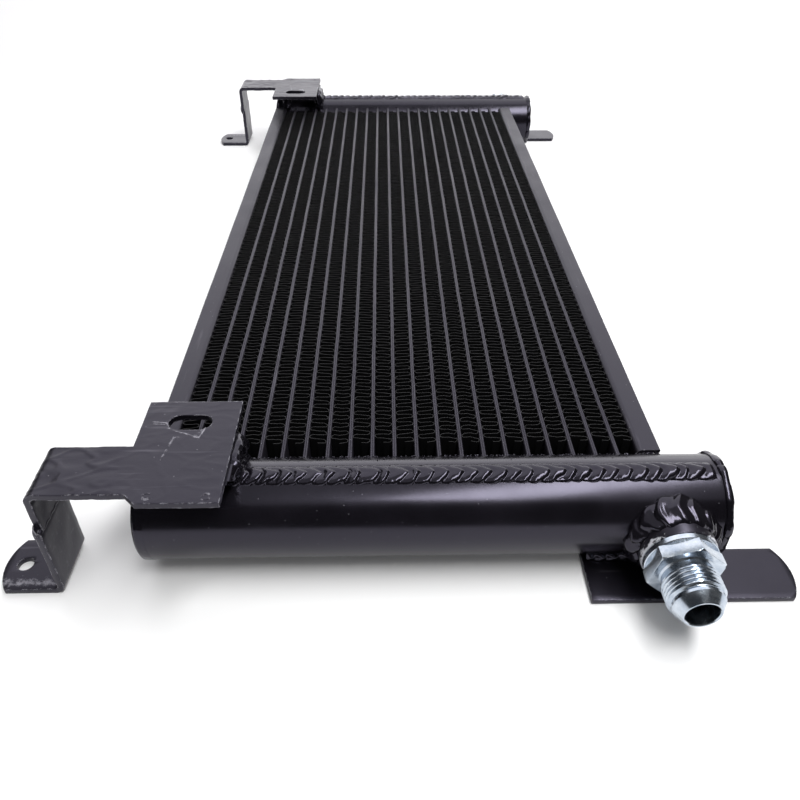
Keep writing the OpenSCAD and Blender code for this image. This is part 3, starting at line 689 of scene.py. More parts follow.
def crumbTree():
    # small lumps strewn over a stretch of the tank's surface
    tree, given, made = newTree("strewnCrumbs", [
        ("Count", "Int"), ("Low X", "Float"), ("High X", "Float"), ("Low Angle", "Float"),
        ("High Angle", "Float"), ("Radius", "Float"), ("Axis Z", "Float"), ("Small", "Float"),
        ("Large", "Float"), ("Seed", "Int"), ("Finish", "Material")])
    spots = addNode(tree, "GeometryNodeMeshLine", {"Count": given["Count"]})
    x = addNode(tree, "FunctionNodeRandomValue", {2: given["Low X"], 3: given["High X"],
                                                  "Seed": given["Seed"]}, data_type="FLOAT")
    second = addNode(tree, "ShaderNodeMath", {0: given["Seed"], 1: 40.0}, operation="ADD")
    angle = addNode(tree, "FunctionNodeRandomValue", {2: given["Low Angle"], 3: given["High Angle"],
                                                      "Seed": second}, data_type="FLOAT")
    radians = addNode(tree, "ShaderNodeMath", {0: angle.outputs[1]}, operation="RADIANS")
    sine = addNode(tree, "ShaderNodeMath", {0: radians}, operation="SINE")
    cosine = addNode(tree, "ShaderNodeMath", {0: radians}, operation="COSINE")
    inward = addNode(tree, "ShaderNodeMath", {0: given["Radius"], 1: -1.0}, operation="MULTIPLY")
    y = addNode(tree, "ShaderNodeMath", {0: sine, 1: inward}, operation="MULTIPLY")
    z = addNode(tree, "ShaderNodeMath", {0: cosine, 1: given["Radius"], 2: given["Axis Z"]},
                operation="MULTIPLY_ADD")
    spot = addNode(tree, "ShaderNodeCombineXYZ", {"X": x.outputs[1], "Y": y, "Z": z})
    strewn = addNode(tree, "GeometryNodeSetPosition", {"Geometry": spots, "Position": spot})
    lump = addNode(tree, "GeometryNodeMeshIcoSphere", {"Radius": 1.0, "Subdivisions": 2})
    third = addNode(tree, "ShaderNodeMath", {0: given["Seed"], 1: 80.0}, operation="ADD")
    size = addNode(tree, "FunctionNodeRandomValue", {2: given["Small"], 3: given["Large"], "Seed": third},
                   data_type="FLOAT")
    lumps = addNode(tree, "GeometryNodeInstanceOnPoints", {"Points": strewn, "Instance": lump,
                                                           "Scale": size.outputs[1]})
    whole = addNode(tree, "GeometryNodeRealizeInstances", {0: lumps})
    here = addNode(tree, "GeometryNodeInputPosition")
    stir = addNode(tree, "ShaderNodeTexNoise", {"Vector": here, "Scale": 1.1, "Detail": 1.0})
    spread = addNode(tree, "ShaderNodeVectorMath", {0: stir.outputs["Color"], 1: (0.5, 0.5, 0.5)},
                     operation="SUBTRACT")
    moved = addNode(tree, "GeometryNodeSetPosition", {"Geometry": whole, "Offset": spread})
    painted = addNode(tree, "GeometryNodeSetMaterial", {"Geometry": moved, "Material": given["Finish"]})
    tree.links.new(painted.outputs[0], made[0])
    return tree


# crumbs of flux where the tubes enter, and weld lumps under the channels' ends
crumbs = [
    {"Count": 260, "Low X": -114.0, "High X": 114.0, "Low Angle": -45.0, "High Angle": -36.0, "Small": 0.2,
     "Large": 0.6, "Seed": 3},
    {"Count": 70, "Low X": -114.0, "High X": 114.0, "Low Angle": -36.0, "High Angle": -20.0, "Small": 0.15,
     "Large": 0.32, "Seed": 4},
    {"Count": 16, "Low X": 118.5, "High X": 129.5, "Low Angle": -49.0, "High Angle": -46.5, "Small": 0.7,
     "Large": 1.4, "Seed": 5},
    {"Count": 16, "Low X": -129.5, "High X": -118.5, "Low Angle": -49.0, "High Angle": -46.5, "Small": 0.7,
     "Large": 1.4, "Seed": 6},
]
crumbNodes = crumbTree()


def strewCrumbs():
    made = []
    for row in crumbs:
        piece = newPiece("crumbs", [(0, 0, 0)], [])
        given = dict(row, Radius=tank["radius"], Finish=tankPaint)
        given["Axis Z"] = tank["axisZ"]
        growNodes(piece, crumbNodes, given)
        made.append(piece)
    return made


bothEnds(joinPieces([header] + strewCrumbs()), "Header", "header", tankPaint, sharp=40)
print("tank shells and headers done")

cap = {"round": 3.0, "thick": 4.0, "dish": 0.12}


def endCap(side):
    # side -1 is the left cap, with its outer face towards -X
    outer = tank["left"] if side < 0 else tank["right"]
    radius, r = tank["radius"], cap["round"]
    profile = [(radius * f, 0.0) for f in (0.0, 0.2, 0.4, 0.6, 0.78)]
    profile += [(radius - r + r * math.sin(math.radians(a)), r - r * math.cos(math.radians(a)))
                for a in range(0, 91, 10)]
    profile += [(radius, cap["thick"]), (0.0, cap["thick"])]
    rings = []
    for i in range(tank["around"]):
        a = 2 * math.pi * i / tank["around"]
        ring = []
        for q, depth in profile:
            sink = cap["dish"] * noise.noise((q * math.cos(a) / 14, q * math.sin(a) / 14, side * 5.0))
            ring.append((outer - side * (depth + (abs(sink) if depth < 0.5 else 0)),
                         -q * math.sin(a), tank["axisZ"] + q * math.cos(a)))
        rings.append(ring)
    return ringSolid("cap", rings, closedPath=True)


bothEnds(endCap(-1), "LeftCap", "left_cap", tankPaint, sharp=50)
bothEnds(endCap(1), "RightCap", "right_cap", tankPaint, sharp=50)
print("caps done")


# weld beads: a smooth bead that follows its joint, then ripples grown along it
rippleShape = {"limb": 1.45, "strayScale": 0.13, "stray": 5.0, "skew": 1.7, "vary": 0.6, "least": 0.7,
               "round": 0.45, "mottleScale": 0.45, "mottle": 0.24}


def rippleTree():
    shape = rippleShape
    tree, given, made = newTree("rippledBead", [
        ("Geometry", "Geometry"), ("Pitch", "Float"), ("Bow", "Float"), ("Tail", "Float"),
        ("Depth", "Float"), ("Sharp", "Float"), ("Fade", "Float"), ("Ragged", "Float"), ("Seed", "Float"),
        ("Finish", "Material")])
    along = addNode(tree, "GeometryNodeInputNamedAttribute", {"Name": "along"}, data_type="FLOAT")
    over = addNode(tree, "GeometryNodeInputNamedAttribute", {"Name": "over"}, data_type="FLOAT")
    lift = addNode(tree, "GeometryNodeInputNamedAttribute", {"Name": "lift"}, data_type="FLOAT_VECTOR")
    side = addNode(tree, "GeometryNodeInputNamedAttribute", {"Name": "side"}, data_type="FLOAT_VECTOR")
    # each ripple's edge is an arc; its upper limb may trail further than the lower one
    squareOver = addNode(tree, "ShaderNodeMath", {0: over, 1: over}, operation="MULTIPLY")
    size = addNode(tree, "ShaderNodeMath", {0: over}, operation="ABSOLUTE")
    limb = addNode(tree, "ShaderNodeMath", {0: size, 1: shape["limb"]}, operation="POWER")
    upper = addNode(tree, "ShaderNodeMath", {0: over, 1: 0.0}, operation="MINIMUM")
    upperSquare = addNode(tree, "ShaderNodeMath", {0: upper, 1: upper}, operation="MULTIPLY")
    bowed = addNode(tree, "ShaderNodeMath", {0: limb, 1: given["Bow"]}, operation="MULTIPLY")
    tailed = addNode(tree, "ShaderNodeMath", {0: upperSquare, 1: given["Tail"], 2: bowed},
                     operation="MULTIPLY_ADD")
    uneven = addNode(tree, "ShaderNodeTexNoise", {"W": along, "Scale": shape["strayScale"], "Detail": 1.0},
                     noise_dimensions="1D")
    stray = addNode(tree, "ShaderNodeMath", {0: uneven, 1: shape["stray"], 2: given["Seed"]},
                    operation="MULTIPLY_ADD")
    there = addNode(tree, "ShaderNodeMath", {0: along, 1: tailed}, operation="ADD")
    shifted = addNode(tree, "ShaderNodeMath", {0: there, 1: stray}, operation="ADD")
    phase = addNode(tree, "ShaderNodeMath", {0: shifted, 1: given["Pitch"]}, operation="DIVIDE")
    part = addNode(tree, "ShaderNodeMath", {0: phase}, operation="FRACT")
    number = addNode(tree, "ShaderNodeMath", {0: phase}, operation="FLOOR")
    skew = addNode(tree, "ShaderNodeMath", {0: part, 1: shape["skew"]}, operation="POWER")
    turn = addNode(tree, "ShaderNodeMath", {0: skew, 1: math.pi}, operation="MULTIPLY")
    hump = addNode(tree, "ShaderNodeMath", {0: turn}, operation="SINE")
    crest = addNode(tree, "ShaderNodeMath", {0: hump, 1: given["Sharp"]}, operation="POWER")
    # every ripple is a little different in height
    own = addNode(tree, "ShaderNodeTexWhiteNoise", {"W": number}, noise_dimensions="1D")
    vary = addNode(tree, "ShaderNodeMath", {0: own, 1: shape["vary"], 2: shape["least"]},
                   operation="MULTIPLY_ADD")
    tall = addNode(tree, "ShaderNodeMath", {0: crest, 1: vary}, operation="MULTIPLY")
    crown = addNode(tree, "ShaderNodeMath", {0: 1.0, 1: squareOver}, operation="SUBTRACT")
    soft = addNode(tree, "ShaderNodeMath", {0: crown, 1: 0.0}, operation="MAXIMUM")
    rounded = addNode(tree, "ShaderNodeMath", {0: soft, 1: shape["round"]}, operation="POWER")
    rise = addNode(tree, "ShaderNodeMath", {0: tall, 1: rounded}, operation="MULTIPLY")
    # the upper limbs may die out towards the back toe
    dying = addNode(tree, "ShaderNodeMath", {0: upper, 1: given["Fade"], 2: 1.0}, operation="MULTIPLY_ADD")
    lasting = addNode(tree, "ShaderNodeMath", {0: rise, 1: dying}, operation="MULTIPLY")
    high = addNode(tree, "ShaderNodeMath", {0: lasting, 1: given["Depth"]}, operation="MULTIPLY")
    here = addNode(tree, "GeometryNodeInputPosition")
    mottle = addNode(tree, "ShaderNodeTexNoise", {
        "Vector": here, "W": given["Seed"], "Scale": shape["mottleScale"], "Detail": 2.0},
        noise_dimensions="4D")
    grain = addNode(tree, "ShaderNodeMath", {0: mottle, 1: shape["mottle"], 2: -shape["mottle"] / 2},
                    operation="MULTIPLY_ADD")
    upAll = addNode(tree, "ShaderNodeMath", {0: high, 1: grain}, operation="ADD")
    up = addNode(tree, "ShaderNodeVectorMath", {0: lift, "Scale": upAll}, operation="SCALE")
    edge = addNode(tree, "ShaderNodeMath", {0: over, 1: tall}, operation="MULTIPLY")
    edgeStir = addNode(tree, "ShaderNodeMath", {0: mottle, 1: over}, operation="MULTIPLY")
    edgeAll = addNode(tree, "ShaderNodeMath", {0: edge, 1: edgeStir}, operation="ADD")
    wide = addNode(tree, "ShaderNodeMath", {0: edgeAll, 1: given["Ragged"]}, operation="MULTIPLY")
    out = addNode(tree, "ShaderNodeVectorMath", {0: side, "Scale": wide}, operation="SCALE")
    total = addNode(tree, "ShaderNodeVectorMath", {0: up, 1: out}, operation="ADD")
    moved = addNode(tree, "GeometryNodeSetPosition", {"Geometry": given["Geometry"], "Offset": total})
    whole = addNode(tree, "GeometryNodeRealizeInstances", {0: moved})
    painted = addNode(tree, "GeometryNodeSetMaterial", {"Geometry": whole, "Material": given["Finish"]})
    tree.links.new(painted.outputs[0], made[0])
    return tree


ripples = rippleTree()


def bead(name, surface, length, steps, height, crossings=18, bury=0.7, closed=False, taper=2.0,
         backToe=0.6):
    # surface(u, v) gives the point on the joint, the way out and the way across, for u 0..1 and v -1..1
    points, faces, tags = [], [], []
    size = crossings + 4
    for i in range(steps if closed else steps + 1):
        u = i / steps
        end = 1.0 if closed else min(1, max(0.12, min(u, 1 - u) * length / taper))
        for j in range(crossings + 1):
            v = 2 * j / crossings - 1
            base, out, way = surface(u, v)
            crown = max(0.0, 1 - v * v) ** (backToe if v < 0 else 0.6)
            points.append(base + out * (height * end * crown - (0.25 if j in (0, crossings) else 0)))
            tags.append((u * length, v, out * end, way * end))
        for v in (0.7, 0.0, -0.7):
            base, out, way = surface(u, v)
            points.append(base - out * bury)
            tags.append((u * length, v, Vector(), Vector()))
    rows = len(points) // size
    for i in range(rows if closed else rows - 1):
        a, b = i * size, (i + 1) % rows * size
        faces += [(a + j, a + (j + 1) % size, b + (j + 1) % size, b + j) for j in range(size)]
    if not closed:
        faces += [tuple(range(size)), tuple(range((rows - 1) * size, rows * size))]
    piece = newPiece(name, points, faces)
    for label, kind, column, key in (("along", "FLOAT", 0, "value"), ("over", "FLOAT", 1, "value"),
                                     ("lift", "FLOAT_VECTOR", 2, "vector"),
                                     ("side", "FLOAT_VECTOR", 3, "vector")):
        layer = piece.data.attributes.new(label, kind, "POINT")
        for k, tag in enumerate(tags):
            setattr(layer.data[k], key, tag[column])
    work = bmesh.new()
    work.from_mesh(piece.data)
    bmesh.ops.recalc_face_normals(work, faces=work.faces)
    work.to_mesh(piece.data)
    work.free()
    return piece


seam = {"width": 10.4, "height": 1.2, "pitch": 6.9, "bow": 5.0, "tail": 5.0, "depth": 1.15, "ragged": 0.8}


def seamSurface(middle, flip):
    low, high = tank["shellLeft"] + 1, tank["shellRight"] - 1
    half = math.degrees(seam["width"] / 2 / tank["radius"])

    def at(u, v):
        x = low + (high - low) * u
        widen = 1 + 0.1 * noise.noise((x / 14, 7.7 * flip, 0))
        angle = middle + flip * half * v * widen
        a = math.radians(angle)
        out = Vector((0, -math.sin(a), math.cos(a)))
        way = Vector((0, -math.cos(a), -math.sin(a))) * flip
        return Vector(tankPoint(x, angle, tank["radius"])), out, way
    return at


seamLength = tank["shellRight"] - tank["shellLeft"] - 2
topSeam = bead("topSeam", seamSurface(tank["seamAngle"] - 5, 1), seamLength, 760, seam["height"], 24,
               backToe=1.3)
growNodes(topSeam, ripples, {
    "Pitch": seam["pitch"], "Bow": seam["bow"], "Tail": seam["tail"], "Depth": seam["depth"], "Fade": 0.55,
    "Sharp": 0.62, "Ragged": seam["ragged"], "Seed": 2.0, "Finish": weldPaint})
lowSeam = bead("lowSeam", seamSurface(180 - tank["seamAngle"] + 1, -1), seamLength, 420,
               seam["height"] * 0.8, 14)
growNodes(lowSeam, ripples, {
    "Pitch": seam["pitch"], "Bow": seam["bow"], "Tail": 0.0, "Depth": 0.8, "Sharp": 0.9, "Ragged": 0.4,
    "Seed": 5.0, "Finish": weldPaint})
bothEnds(joinPieces([topSeam, lowSeam]), "SeamWelds", "seam_welds", weldPaint, sharp=60)

rims = [
    # the left rim is dressed smooth, the right one keeps its lumpy bead
    {"at": tank["shellLeft"], "inward": 1, "width": 5.0, "height": 0.12, "pitch": 9.0, "bow": 1.0,
     "depth": 0.04, "ragged": 0.1, "seed": 1.0},
    {"at": tank["shellRight"] + 2.9, "inward": -1, "width": 3.2, "height": 0.7, "pitch": 15.0,
     "bow": 1.0, "depth": 0.8, "ragged": 0.5, "seed": 4.0},
]


def rimSurface(rim):
    def at(u, v):
        angle = 360 * u
        a = math.radians(angle)
        out = Vector((0, -math.sin(a), math.cos(a)))
        spot = rim["at"] + rim["inward"] * v * rim["width"] / 2
        return Vector(tankPoint(spot, angle, tank["radius"])), out, Vector((rim["inward"], 0, 0))
    return at


rings = []
for rim in rims:
    ring = bead("ring", rimSurface(rim), 2 * math.pi * tank["radius"], 360, rim["height"], 12, closed=True)
    growNodes(ring, ripples, {
        "Pitch": rim["pitch"], "Bow": rim["bow"], "Tail": 0.0, "Depth": rim["depth"], "Sharp": 1.3,
        "Ragged": rim["ragged"], "Seed": rim["seed"], "Finish": weldPaint})
    rings.append(ring)
bothEnds(joinPieces(rings), "CapWelds", "cap_welds", weldPaint, sharp=60)
print("seam and cap welds done")


# port boss and its fillet weld
def saddle(r, a):
    # the tank's surface seen along the port's axis, at radius r and angle a
    z = r * math.sin(a)
    return -math.sqrt(max(0.0, tank["radius"] ** 2 - z * z))


def bossPiece():
    rings = []
    for i in range(tank["around"]):
        a = 2 * math.pi * i / tank["around"]
        face, floor = -port["reach"], -port["reach"] + port["seatDepth"]
        outline = [(port["boss"], saddle(port["boss"], a)), (port["boss"], face + 0.7),
                   (port["boss"] - 0.3, face + 0.15), (port["boss"] - 0.8, face), (port["seat"], face),
                   (port["seat"], floor), (port["bore"], floor), (port["bore"], saddle(port["bore"], a))]
        rings.append([(port["x"] + r * math.cos(a), y, tank["axisZ"] + r * math.sin(a))
                      for r, y in outline])
    return ringSolid("boss", rings, closedPath=True)


bossPaint = bossFinish((tank["axisY"] + port["reach"]) * mm, (coreX + port["x"]) * mm)
bothEnds(bossPiece(), "PortBoss", "port_boss", bossPaint)

fillet = {"legTop": 2.4, "legSide": 4.8, "end": -29.5, "bulge": 1.9, "pitch": 8.6, "bow": 4.5, "depth": 0.9,
          "ragged": 0.9, "swell": 0.2, "wander": 8.0, "oval": 1.4, "slim": 0.3}


def filletSurface(u, v):
    a = 2 * math.pi * u
    w = (v + 1) / 2      # 0 on the tank, 1 on the boss
    swell = 1 + fillet["swell"] * noise.noise((math.cos(a) * 1.7, math.sin(a) * 1.7, 3.0))
    leg = fillet["legTop"] + (fillet["legSide"] - fillet["legTop"]) * abs(math.cos(a)) ** fillet["oval"]
    rTank = port["boss"] + leg * swell * (1 - fillet["slim"] * max(0, math.cos(a)))
    onTank = Vector((port["x"] + rTank * math.cos(a), saddle(rTank, a),
                     tank["axisZ"] + rTank * math.sin(a)))
    onBoss = Vector((port["x"] + port["boss"] * math.cos(a), fillet["end"] + fillet["wander"] * (swell - 1),
                     tank["axisZ"] + port["boss"] * math.sin(a)))
    way = (onBoss - onTank).normalized()
    out = way.cross(Vector((-math.sin(a), 0, math.cos(a))))
    if out.dot(Vector((math.cos(a), -1, math.sin(a)))) < 0:
        out = -out
    return onTank.lerp(onBoss, w), out.normalized(), way


collar = bead("collar", filletSurface, 2 * math.pi * 22, 420, fillet["bulge"], 18, bury=3.0, closed=True)
growNodes(collar, ripples, {
    "Pitch": fillet["pitch"], "Bow": fillet["bow"], "Tail": 0.0, "Depth": fillet["depth"], "Sharp": 1.4,
    "Ragged": fillet["ragged"], "Seed": 9.0, "Finish": weldPaint})
bothEnds(joinPieces([collar]), "BossWeld", "boss_weld", weldPaint, sharp=60)
print("boss and fillet done")

# port adapter: stations measured outward from the boss's face
fitting = {"stud": -13.4, "studNeck": -3.2, "studR": 13.445, "collar": 3.2, "collarR": 17.6, "hexEnd": 10.2,
           "hexFront": 17.4, "flats": 31.75, "turn": 19.0, "relief": 13.7, "root": 12.1, "threadEnd": 25.1,
           "major": 13.495, "minor": 12.25, "pitch": 25.4 / 12, "neck": 27.3, "tip": 32.1, "tipR": 8.7,
           "bore": 7.75, "around": 144, "threadSteps": 66, "chamfer": 30}


def adapterPiece(turn):
    f = fitting
    count, steps = f["around"], f["threadSteps"]
    rings = []
    for i in range(count):
        a = math.radians(turn + 360 * i / count)      # the corners fall on sampled angles
        local = (360 * i / count) % 60 - 30
        flat = f["flats"] / 2 / math.cos(math.radians(local))
        front = f["hexFront"]
        bevelAt = f["hexEnd"] - max(0.0, flat - front) * math.tan(math.radians(f["chamfer"])) - 0.12
        line = [(f["bore"], f["stud"]), (f["studR"] - 0.8, f["stud"]), (f["studR"], f["stud"] + 0.8),
                (f["studR"], f["studNeck"] - 0.3), (f["root"] - 0.2, f["studNeck"]), (f["root"] - 0.2, 0.0),
                (f["collarR"] - 0.4, 0.0), (f["collarR"], 0.4), (f["collarR"], f["collar"] - 0.35),
                (f["collarR"] - 0.35, f["collar"])]
        line += [(min(flat, f["collarR"] - 0.36), f["collar"]), (flat, f["collar"] + 0.02),
                 (flat, bevelAt - 0.12), (flat - 0.05, bevelAt), (min(flat - 0.15, front), f["hexEnd"])]
        line += [(f["root"] + 0.8, f["hexEnd"]), (f["root"], f["hexEnd"] + 0.7),
                 (f["root"], f["relief"] - 0.4)]
        for k in range(steps + 1):
            s = f["relief"] + (f["threadEnd"] - f["relief"]) * k / steps
            wave = (s / f["pitch"] - a / (2 * math.pi)) % 1.0
            tooth = min(1.0, max(0.0, (abs(wave - 0.5) * 2 - 0.12) / 0.72))
            fade = min(1.0, (s - f["relief"]) / 1.2, (f["threadEnd"] - s) / 0.9)
            top = f["root"] + 0.1 + (f["major"] - f["root"] - 0.1) * max(0.0, min(1.0, fade))
            line.append((min(top, f["minor"] + (f["major"] - f["minor"]) * tooth), s))
        line += [(f["root"] - 0.45, f["threadEnd"] + 0.25), (f["root"] - 0.45, f["threadEnd"] + 0.6),
                 (f["root"], f["threadEnd"] + 0.8), (f["root"], f["neck"] - 0.15),
                 (f["root"] - 0.12, f["neck"]),
                 (f["tipR"] + 0.25, f["tip"] - 0.2), (f["tipR"], f["tip"]), (f["bore"] + 0.35, f["tip"]),
                 (f["bore"], f["tip"] - 0.4)]
        rings.append([(port["x"] + r * math.cos(a), -port["reach"] - s, tank["axisZ"] + r * math.sin(a))
                      for r, s in line])
    return ringSolid("adapter", rings, closedPath=True)


zinc = zincFinish("brightZincPlatedSteel", (coreX + port["x"]) * mm, tank["axisZ"] * mm)
for end in ("near", "far"):
    # the far adapter is turned round, not mirrored, so its thread is right-handed too
    piece = adapterPiece(fitting["turn"] if end == "near" else 180 - fitting["turn"])
    piece.name = end + "PortAdapter"
    if end == "far":
        piece.data.transform(Matrix(((-1, 0, 0, 2 * port["x"]), (0, 1, 0, 0), (0, 0, 1, 0), (0, 0, 0, 1))))
        piece.data.flip_normals()
    setInRow(piece, end)
    fitOut(piece, end + "_port_adapter", zinc, sharp=28)


seal = {"ring": 13.3, "cord": 1.4, "depth": 1.6, "steps": 20}


def sealPiece():
    rings = []
    for i in range(tank["around"]):
        a = 2 * math.pi * i / tank["around"]
        ring = []
        for k in range(seal["steps"]):
            b = 2 * math.pi * k / seal["steps"]
            reach = seal["ring"] + seal["cord"] * math.cos(b)
            ring.append((port["x"] + reach * math.cos(a),
                         -port["reach"] + seal["depth"] + seal["cord"] * math.sin(b),
                         tank["axisZ"] + reach * math.sin(a)))
        rings.append(ring)
    return ringSolid("seal", rings, closedPath=True)


bothEnds(sealPiece(), "PortSeal", "port_seal", nitrile, sharp=80)
print("adapters and seals done")

# brackets of flat bar
bar = {"thick": 3.2, "width": 31.8, "inner": 2.0, "ease": 0.45}
bracket = {"top": 66.2, "right": -83.5, "left": -130.8, "front": -32.0, "back": 39.3, "armFront": -26.4,
           "legX": -172.4, "joint": 42.0, "slotX": -107.15, "slotY": 22.8, "slotW": 11.0, "slotL": 21.5,
           "notchBack": 4.0, "notchFront": 9.6, "cell": 0.95}
dents = {"long": 0.4, "crease": 0.34, "creaseWidth": 0.2, "leg": 0.3, "edge": 0.12, "plate": 0.3,
         "sink": 0.4, "least": 0.16}


def slotOutline(cx, cy, length, width):
    half, r = (length - width) / 2, width / 2
    return arc(cx + half, cy, r, -90, 90, 18) + arc(cx - half, cy, r, 90, 270, 18)


def bracketDent(co):
    # rolled and bent by hand: long soft dents and thin creases along the arm, shallower in the plate
    under = bracket["top"] - bar["thick"]
    arm = 1.0 if co.x < bracket["left"] - 3 else dents["plate"]
    long = noise.noise((co.x / 16, co.y / 7, 2.0)) * dents["long"]
    fold = abs(noise.noise((co.x / 15 + co.y / 30, co.y / 7 - co.x / 40, 6.0)))
    crease = max(0.0, 1 - fold / dents["creaseWidth"]) * dents["crease"]
    bent = 1.0 if co.z > under - 6 else 0.3
    side = noise.noise((co.z / 11, co.y / 8, 5.0)) * dents["leg"] if co.z < under - 4 else 0.0
    rise = (long + crease) * arm * bent
    if co.z > under - 1:
        rise = min(-dents["least"], rise - dents["sink"])      # nothing stands above the bar's own top
    return Vector((side, dents["edge"] * noise.noise((co.x / 15, co.z / 9, 1.0)), rise))


marks = {
    "width": 0.5, "proud": 0.07,
    # the marks' lighter colour is partly bare steel, partly a painted highlight along their edges
    "bareAndGlint": {"cracks": 0.75, "scratch": 0.52, "flake": 0.5, "rings": 0.5},
    "cracks": [[(-117.2, 18.6), (-112.5, 15.9), (-106.8, 14.0), (-100.9, 11.1), (-98.9, 18.5)],
               [(-125.7, 23.4), (-119.1, 22.6), (-117.3, 20.1)], [(-125.2, 21.9), (-119.6, 21.4)]],
    "scratch": [(-110.8, 11.9), (-112.9, 11.5), (-113.7, 7.5), (-115.7, -4.3)],
    "flake": [(-106.4, 13.6), (-100.9, 11.6), (-99.4, 17.6), (-103.5, 15.2)],
    "rings": [(-116.4, -27.7), (-89.9, -28.2)], "ringRadius": 2.1, "ringLine": 0.55, "scratchWidth": 0.34,
}


def bracketMarks():
    # cracked paint below the slot, a long scratch, and the two stamped half rings at the front edge
    def onTop(x, y, extra):
        spot = Vector((x, y, bracket["top"]))
        return (x, y, bracket["top"] + bracketDent(spot).z + extra)

    def sliver(outline, proud):
        return ringSolid("mark", [[onTop(x, y, up) for x, y in outline] for up in (-0.4, proud)])

    made = []

    def keep(kind, outline, proud):
        piece = sliver(outline, proud)
        layer = piece.data.attributes.new("rubbedAndGlint", "FLOAT", "POINT")
        for v in piece.data.vertices:
            layer.data[v.index].value = marks["bareAndGlint"][kind]
        made.append(piece)

    for kind, line, width in [("cracks", c, marks["width"]) for c in marks["cracks"]] + [
            ("scratch", marks["scratch"], marks["scratchWidth"])]:
        for a, b in zip(line, line[1:]):
            way = Vector((b[0] - a[0], b[1] - a[1])).normalized() * width / 2
            across = Vector((-way.y, way.x))
            keep(kind, [(a[0] - way.x - across.x, a[1] - way.y - across.y),
                        (b[0] + way.x - across.x, b[1] + way.y - across.y),
                        (b[0] + way.x + across.x, b[1] + way.y + across.y),
                        (a[0] - way.x + across.x, a[1] - way.y + across.y)], marks["proud"])
    keep("flake", marks["flake"], marks["proud"] * 0.6)
    for x, y in marks["rings"]:
        r = marks["ringRadius"]
        line = arc(x, y, r, 50, 335, 22) + arc(x, y, r - marks["ringLine"], 335, 50, 22)
        keep("rings", line, marks["proud"] * 2)
    return made


def topBracket():
    b = bracket
    under = b["top"] - bar["thick"]
    cx, cz = b["legX"] + bar["thick"] + bar["inner"], under - bar["inner"]
    armBack = b["armFront"] + bar["width"]
    plate = prism("plate", [
        (b["right"], b["front"]), (b["right"], b["back"]), (b["left"], b["back"]), (b["left"], armBack),
        (cx + 6, armBack), (cx + 6, b["armFront"]), (b["left"] + b["notchBack"], b["armFront"]),
        (b["left"] + b["notchFront"], b["front"])], under, b["top"])
    outer = bar["inner"] + bar["thick"]
    profile = [(cx + 8, b["top"])] + arc(cx, cz, outer, 90, 180, 10) + [(b["legX"], b["joint"])]
    profile += [(b["legX"] + bar["thick"], b["joint"])] + arc(cx, cz, bar["inner"], 180, 90, 6)
    profile += [(cx + 8, under)]
    leg = prism("leg", profile, b["armFront"], armBack, "y")
    carve(plate, leg, "UNION")
    carve(plate, prism("slot", slotOutline(b["slotX"], b["slotY"], b["slotL"], b["slotW"]), under - 2,
                       b["top"] + 2))
    easeEdges(plate, bar["ease"], 2)
    dice(plate, b["cell"])
    dent(plate, bracketDent)
    plate.data.attributes.new("rubbedAndGlint", "FLOAT", "POINT")
    return joinPieces([plate] + bracketMarks())


bothEnds(topBracket(), "TopBracket", "top_bracket", barPaint, sharp=38)

foot = {"legX": -172.4, "front": -29.5, "tip": -204.0, "round": 28.0, "hole": 8.0, "holeIn": 9.7,
        "joint": bracket["joint"], "scuffIn": 4.5, "scuffWide": 3.5, "scuff": 0.75, "wave": 0.16}


def roundedTip(start, tip, low, width, radius, way):
    # a bar's outline with its far end cut on an arc
    half = width / 2
    reach = math.degrees(math.asin(half / radius))
    curve = [(tip + way * (p[0] - radius), low + half + p[1])
             for p in arc(0, 0, radius, -reach, reach, 16)]
    return [(start, low)] + curve + [(start, low + width)]


def footPiece():
    f = foot
    cx, cz = f["legX"] - bar["inner"], bar["thick"] + bar["inner"]
    outer = bar["inner"] + bar["thick"]
    profile = [(f["legX"], f["joint"])] + arc(cx, cz, bar["inner"], 0, -90, 6)
    profile += [(cx - 7, bar["thick"]), (cx - 7, 0)]
    profile += arc(cx, cz, outer, -90, 0, 10) + [(f["legX"] + bar["thick"], f["joint"])]
    piece = prism("footBar", profile, f["front"], f["front"] + bar["width"], "y")
    tread = roundedTip(cx - 4, f["tip"], f["front"], bar["width"], f["round"], -1)
    sole = prism("sole", tread, 0, bar["thick"])
    carve(piece, sole, "UNION")
    hole = arc(f["tip"] + f["holeIn"], f["front"] + bar["width"] / 2, f["hole"] / 2, 0, 351, 39)
    carve(piece, prism("hole", hole, -2, bar["thick"] + 2))
    easeEdges(piece, bar["ease"], 2)
    dice(piece, 3.2)

    def push(co):
        wave = noise.noise((co.x / 13, co.y / 9, 4.0)) * f["wave"] if co.z > 0.6 and co.z < 6 else 0.0
        # as on the upper leg
        side = noise.noise((co.z / 11, co.y / 8, 5.0)) * dents["leg"] if co.z > 8 else 0.0
        return Vector((side, 0.1 * noise.noise((co.x / 12, co.z / 9, 2.0)), min(0.0, wave - 0.05)))
    dent(piece, push)
    # the front of the sole is scuffed
    layer = piece.data.attributes.new("rubbedAndGlint", "FLOAT", "POINT")
    for v in piece.data.vertices:
        if v.co.z > 2 and v.co.z < 3.6:
            off = (v.co.y - f["front"] - f["scuffIn"]) / f["scuffWide"]
            layer.data[v.index].value = f["scuff"] * math.exp(-off ** 2)
    return piece


bothEnds(footPiece(), "Foot", "foot", barPaint, sharp=38)

lower = {"inner": 90.0, "tip": 195.0, "front": -40.5, "width": 31.0, "tab": 47.3, "back": 20.0,
         "round": 28.0}


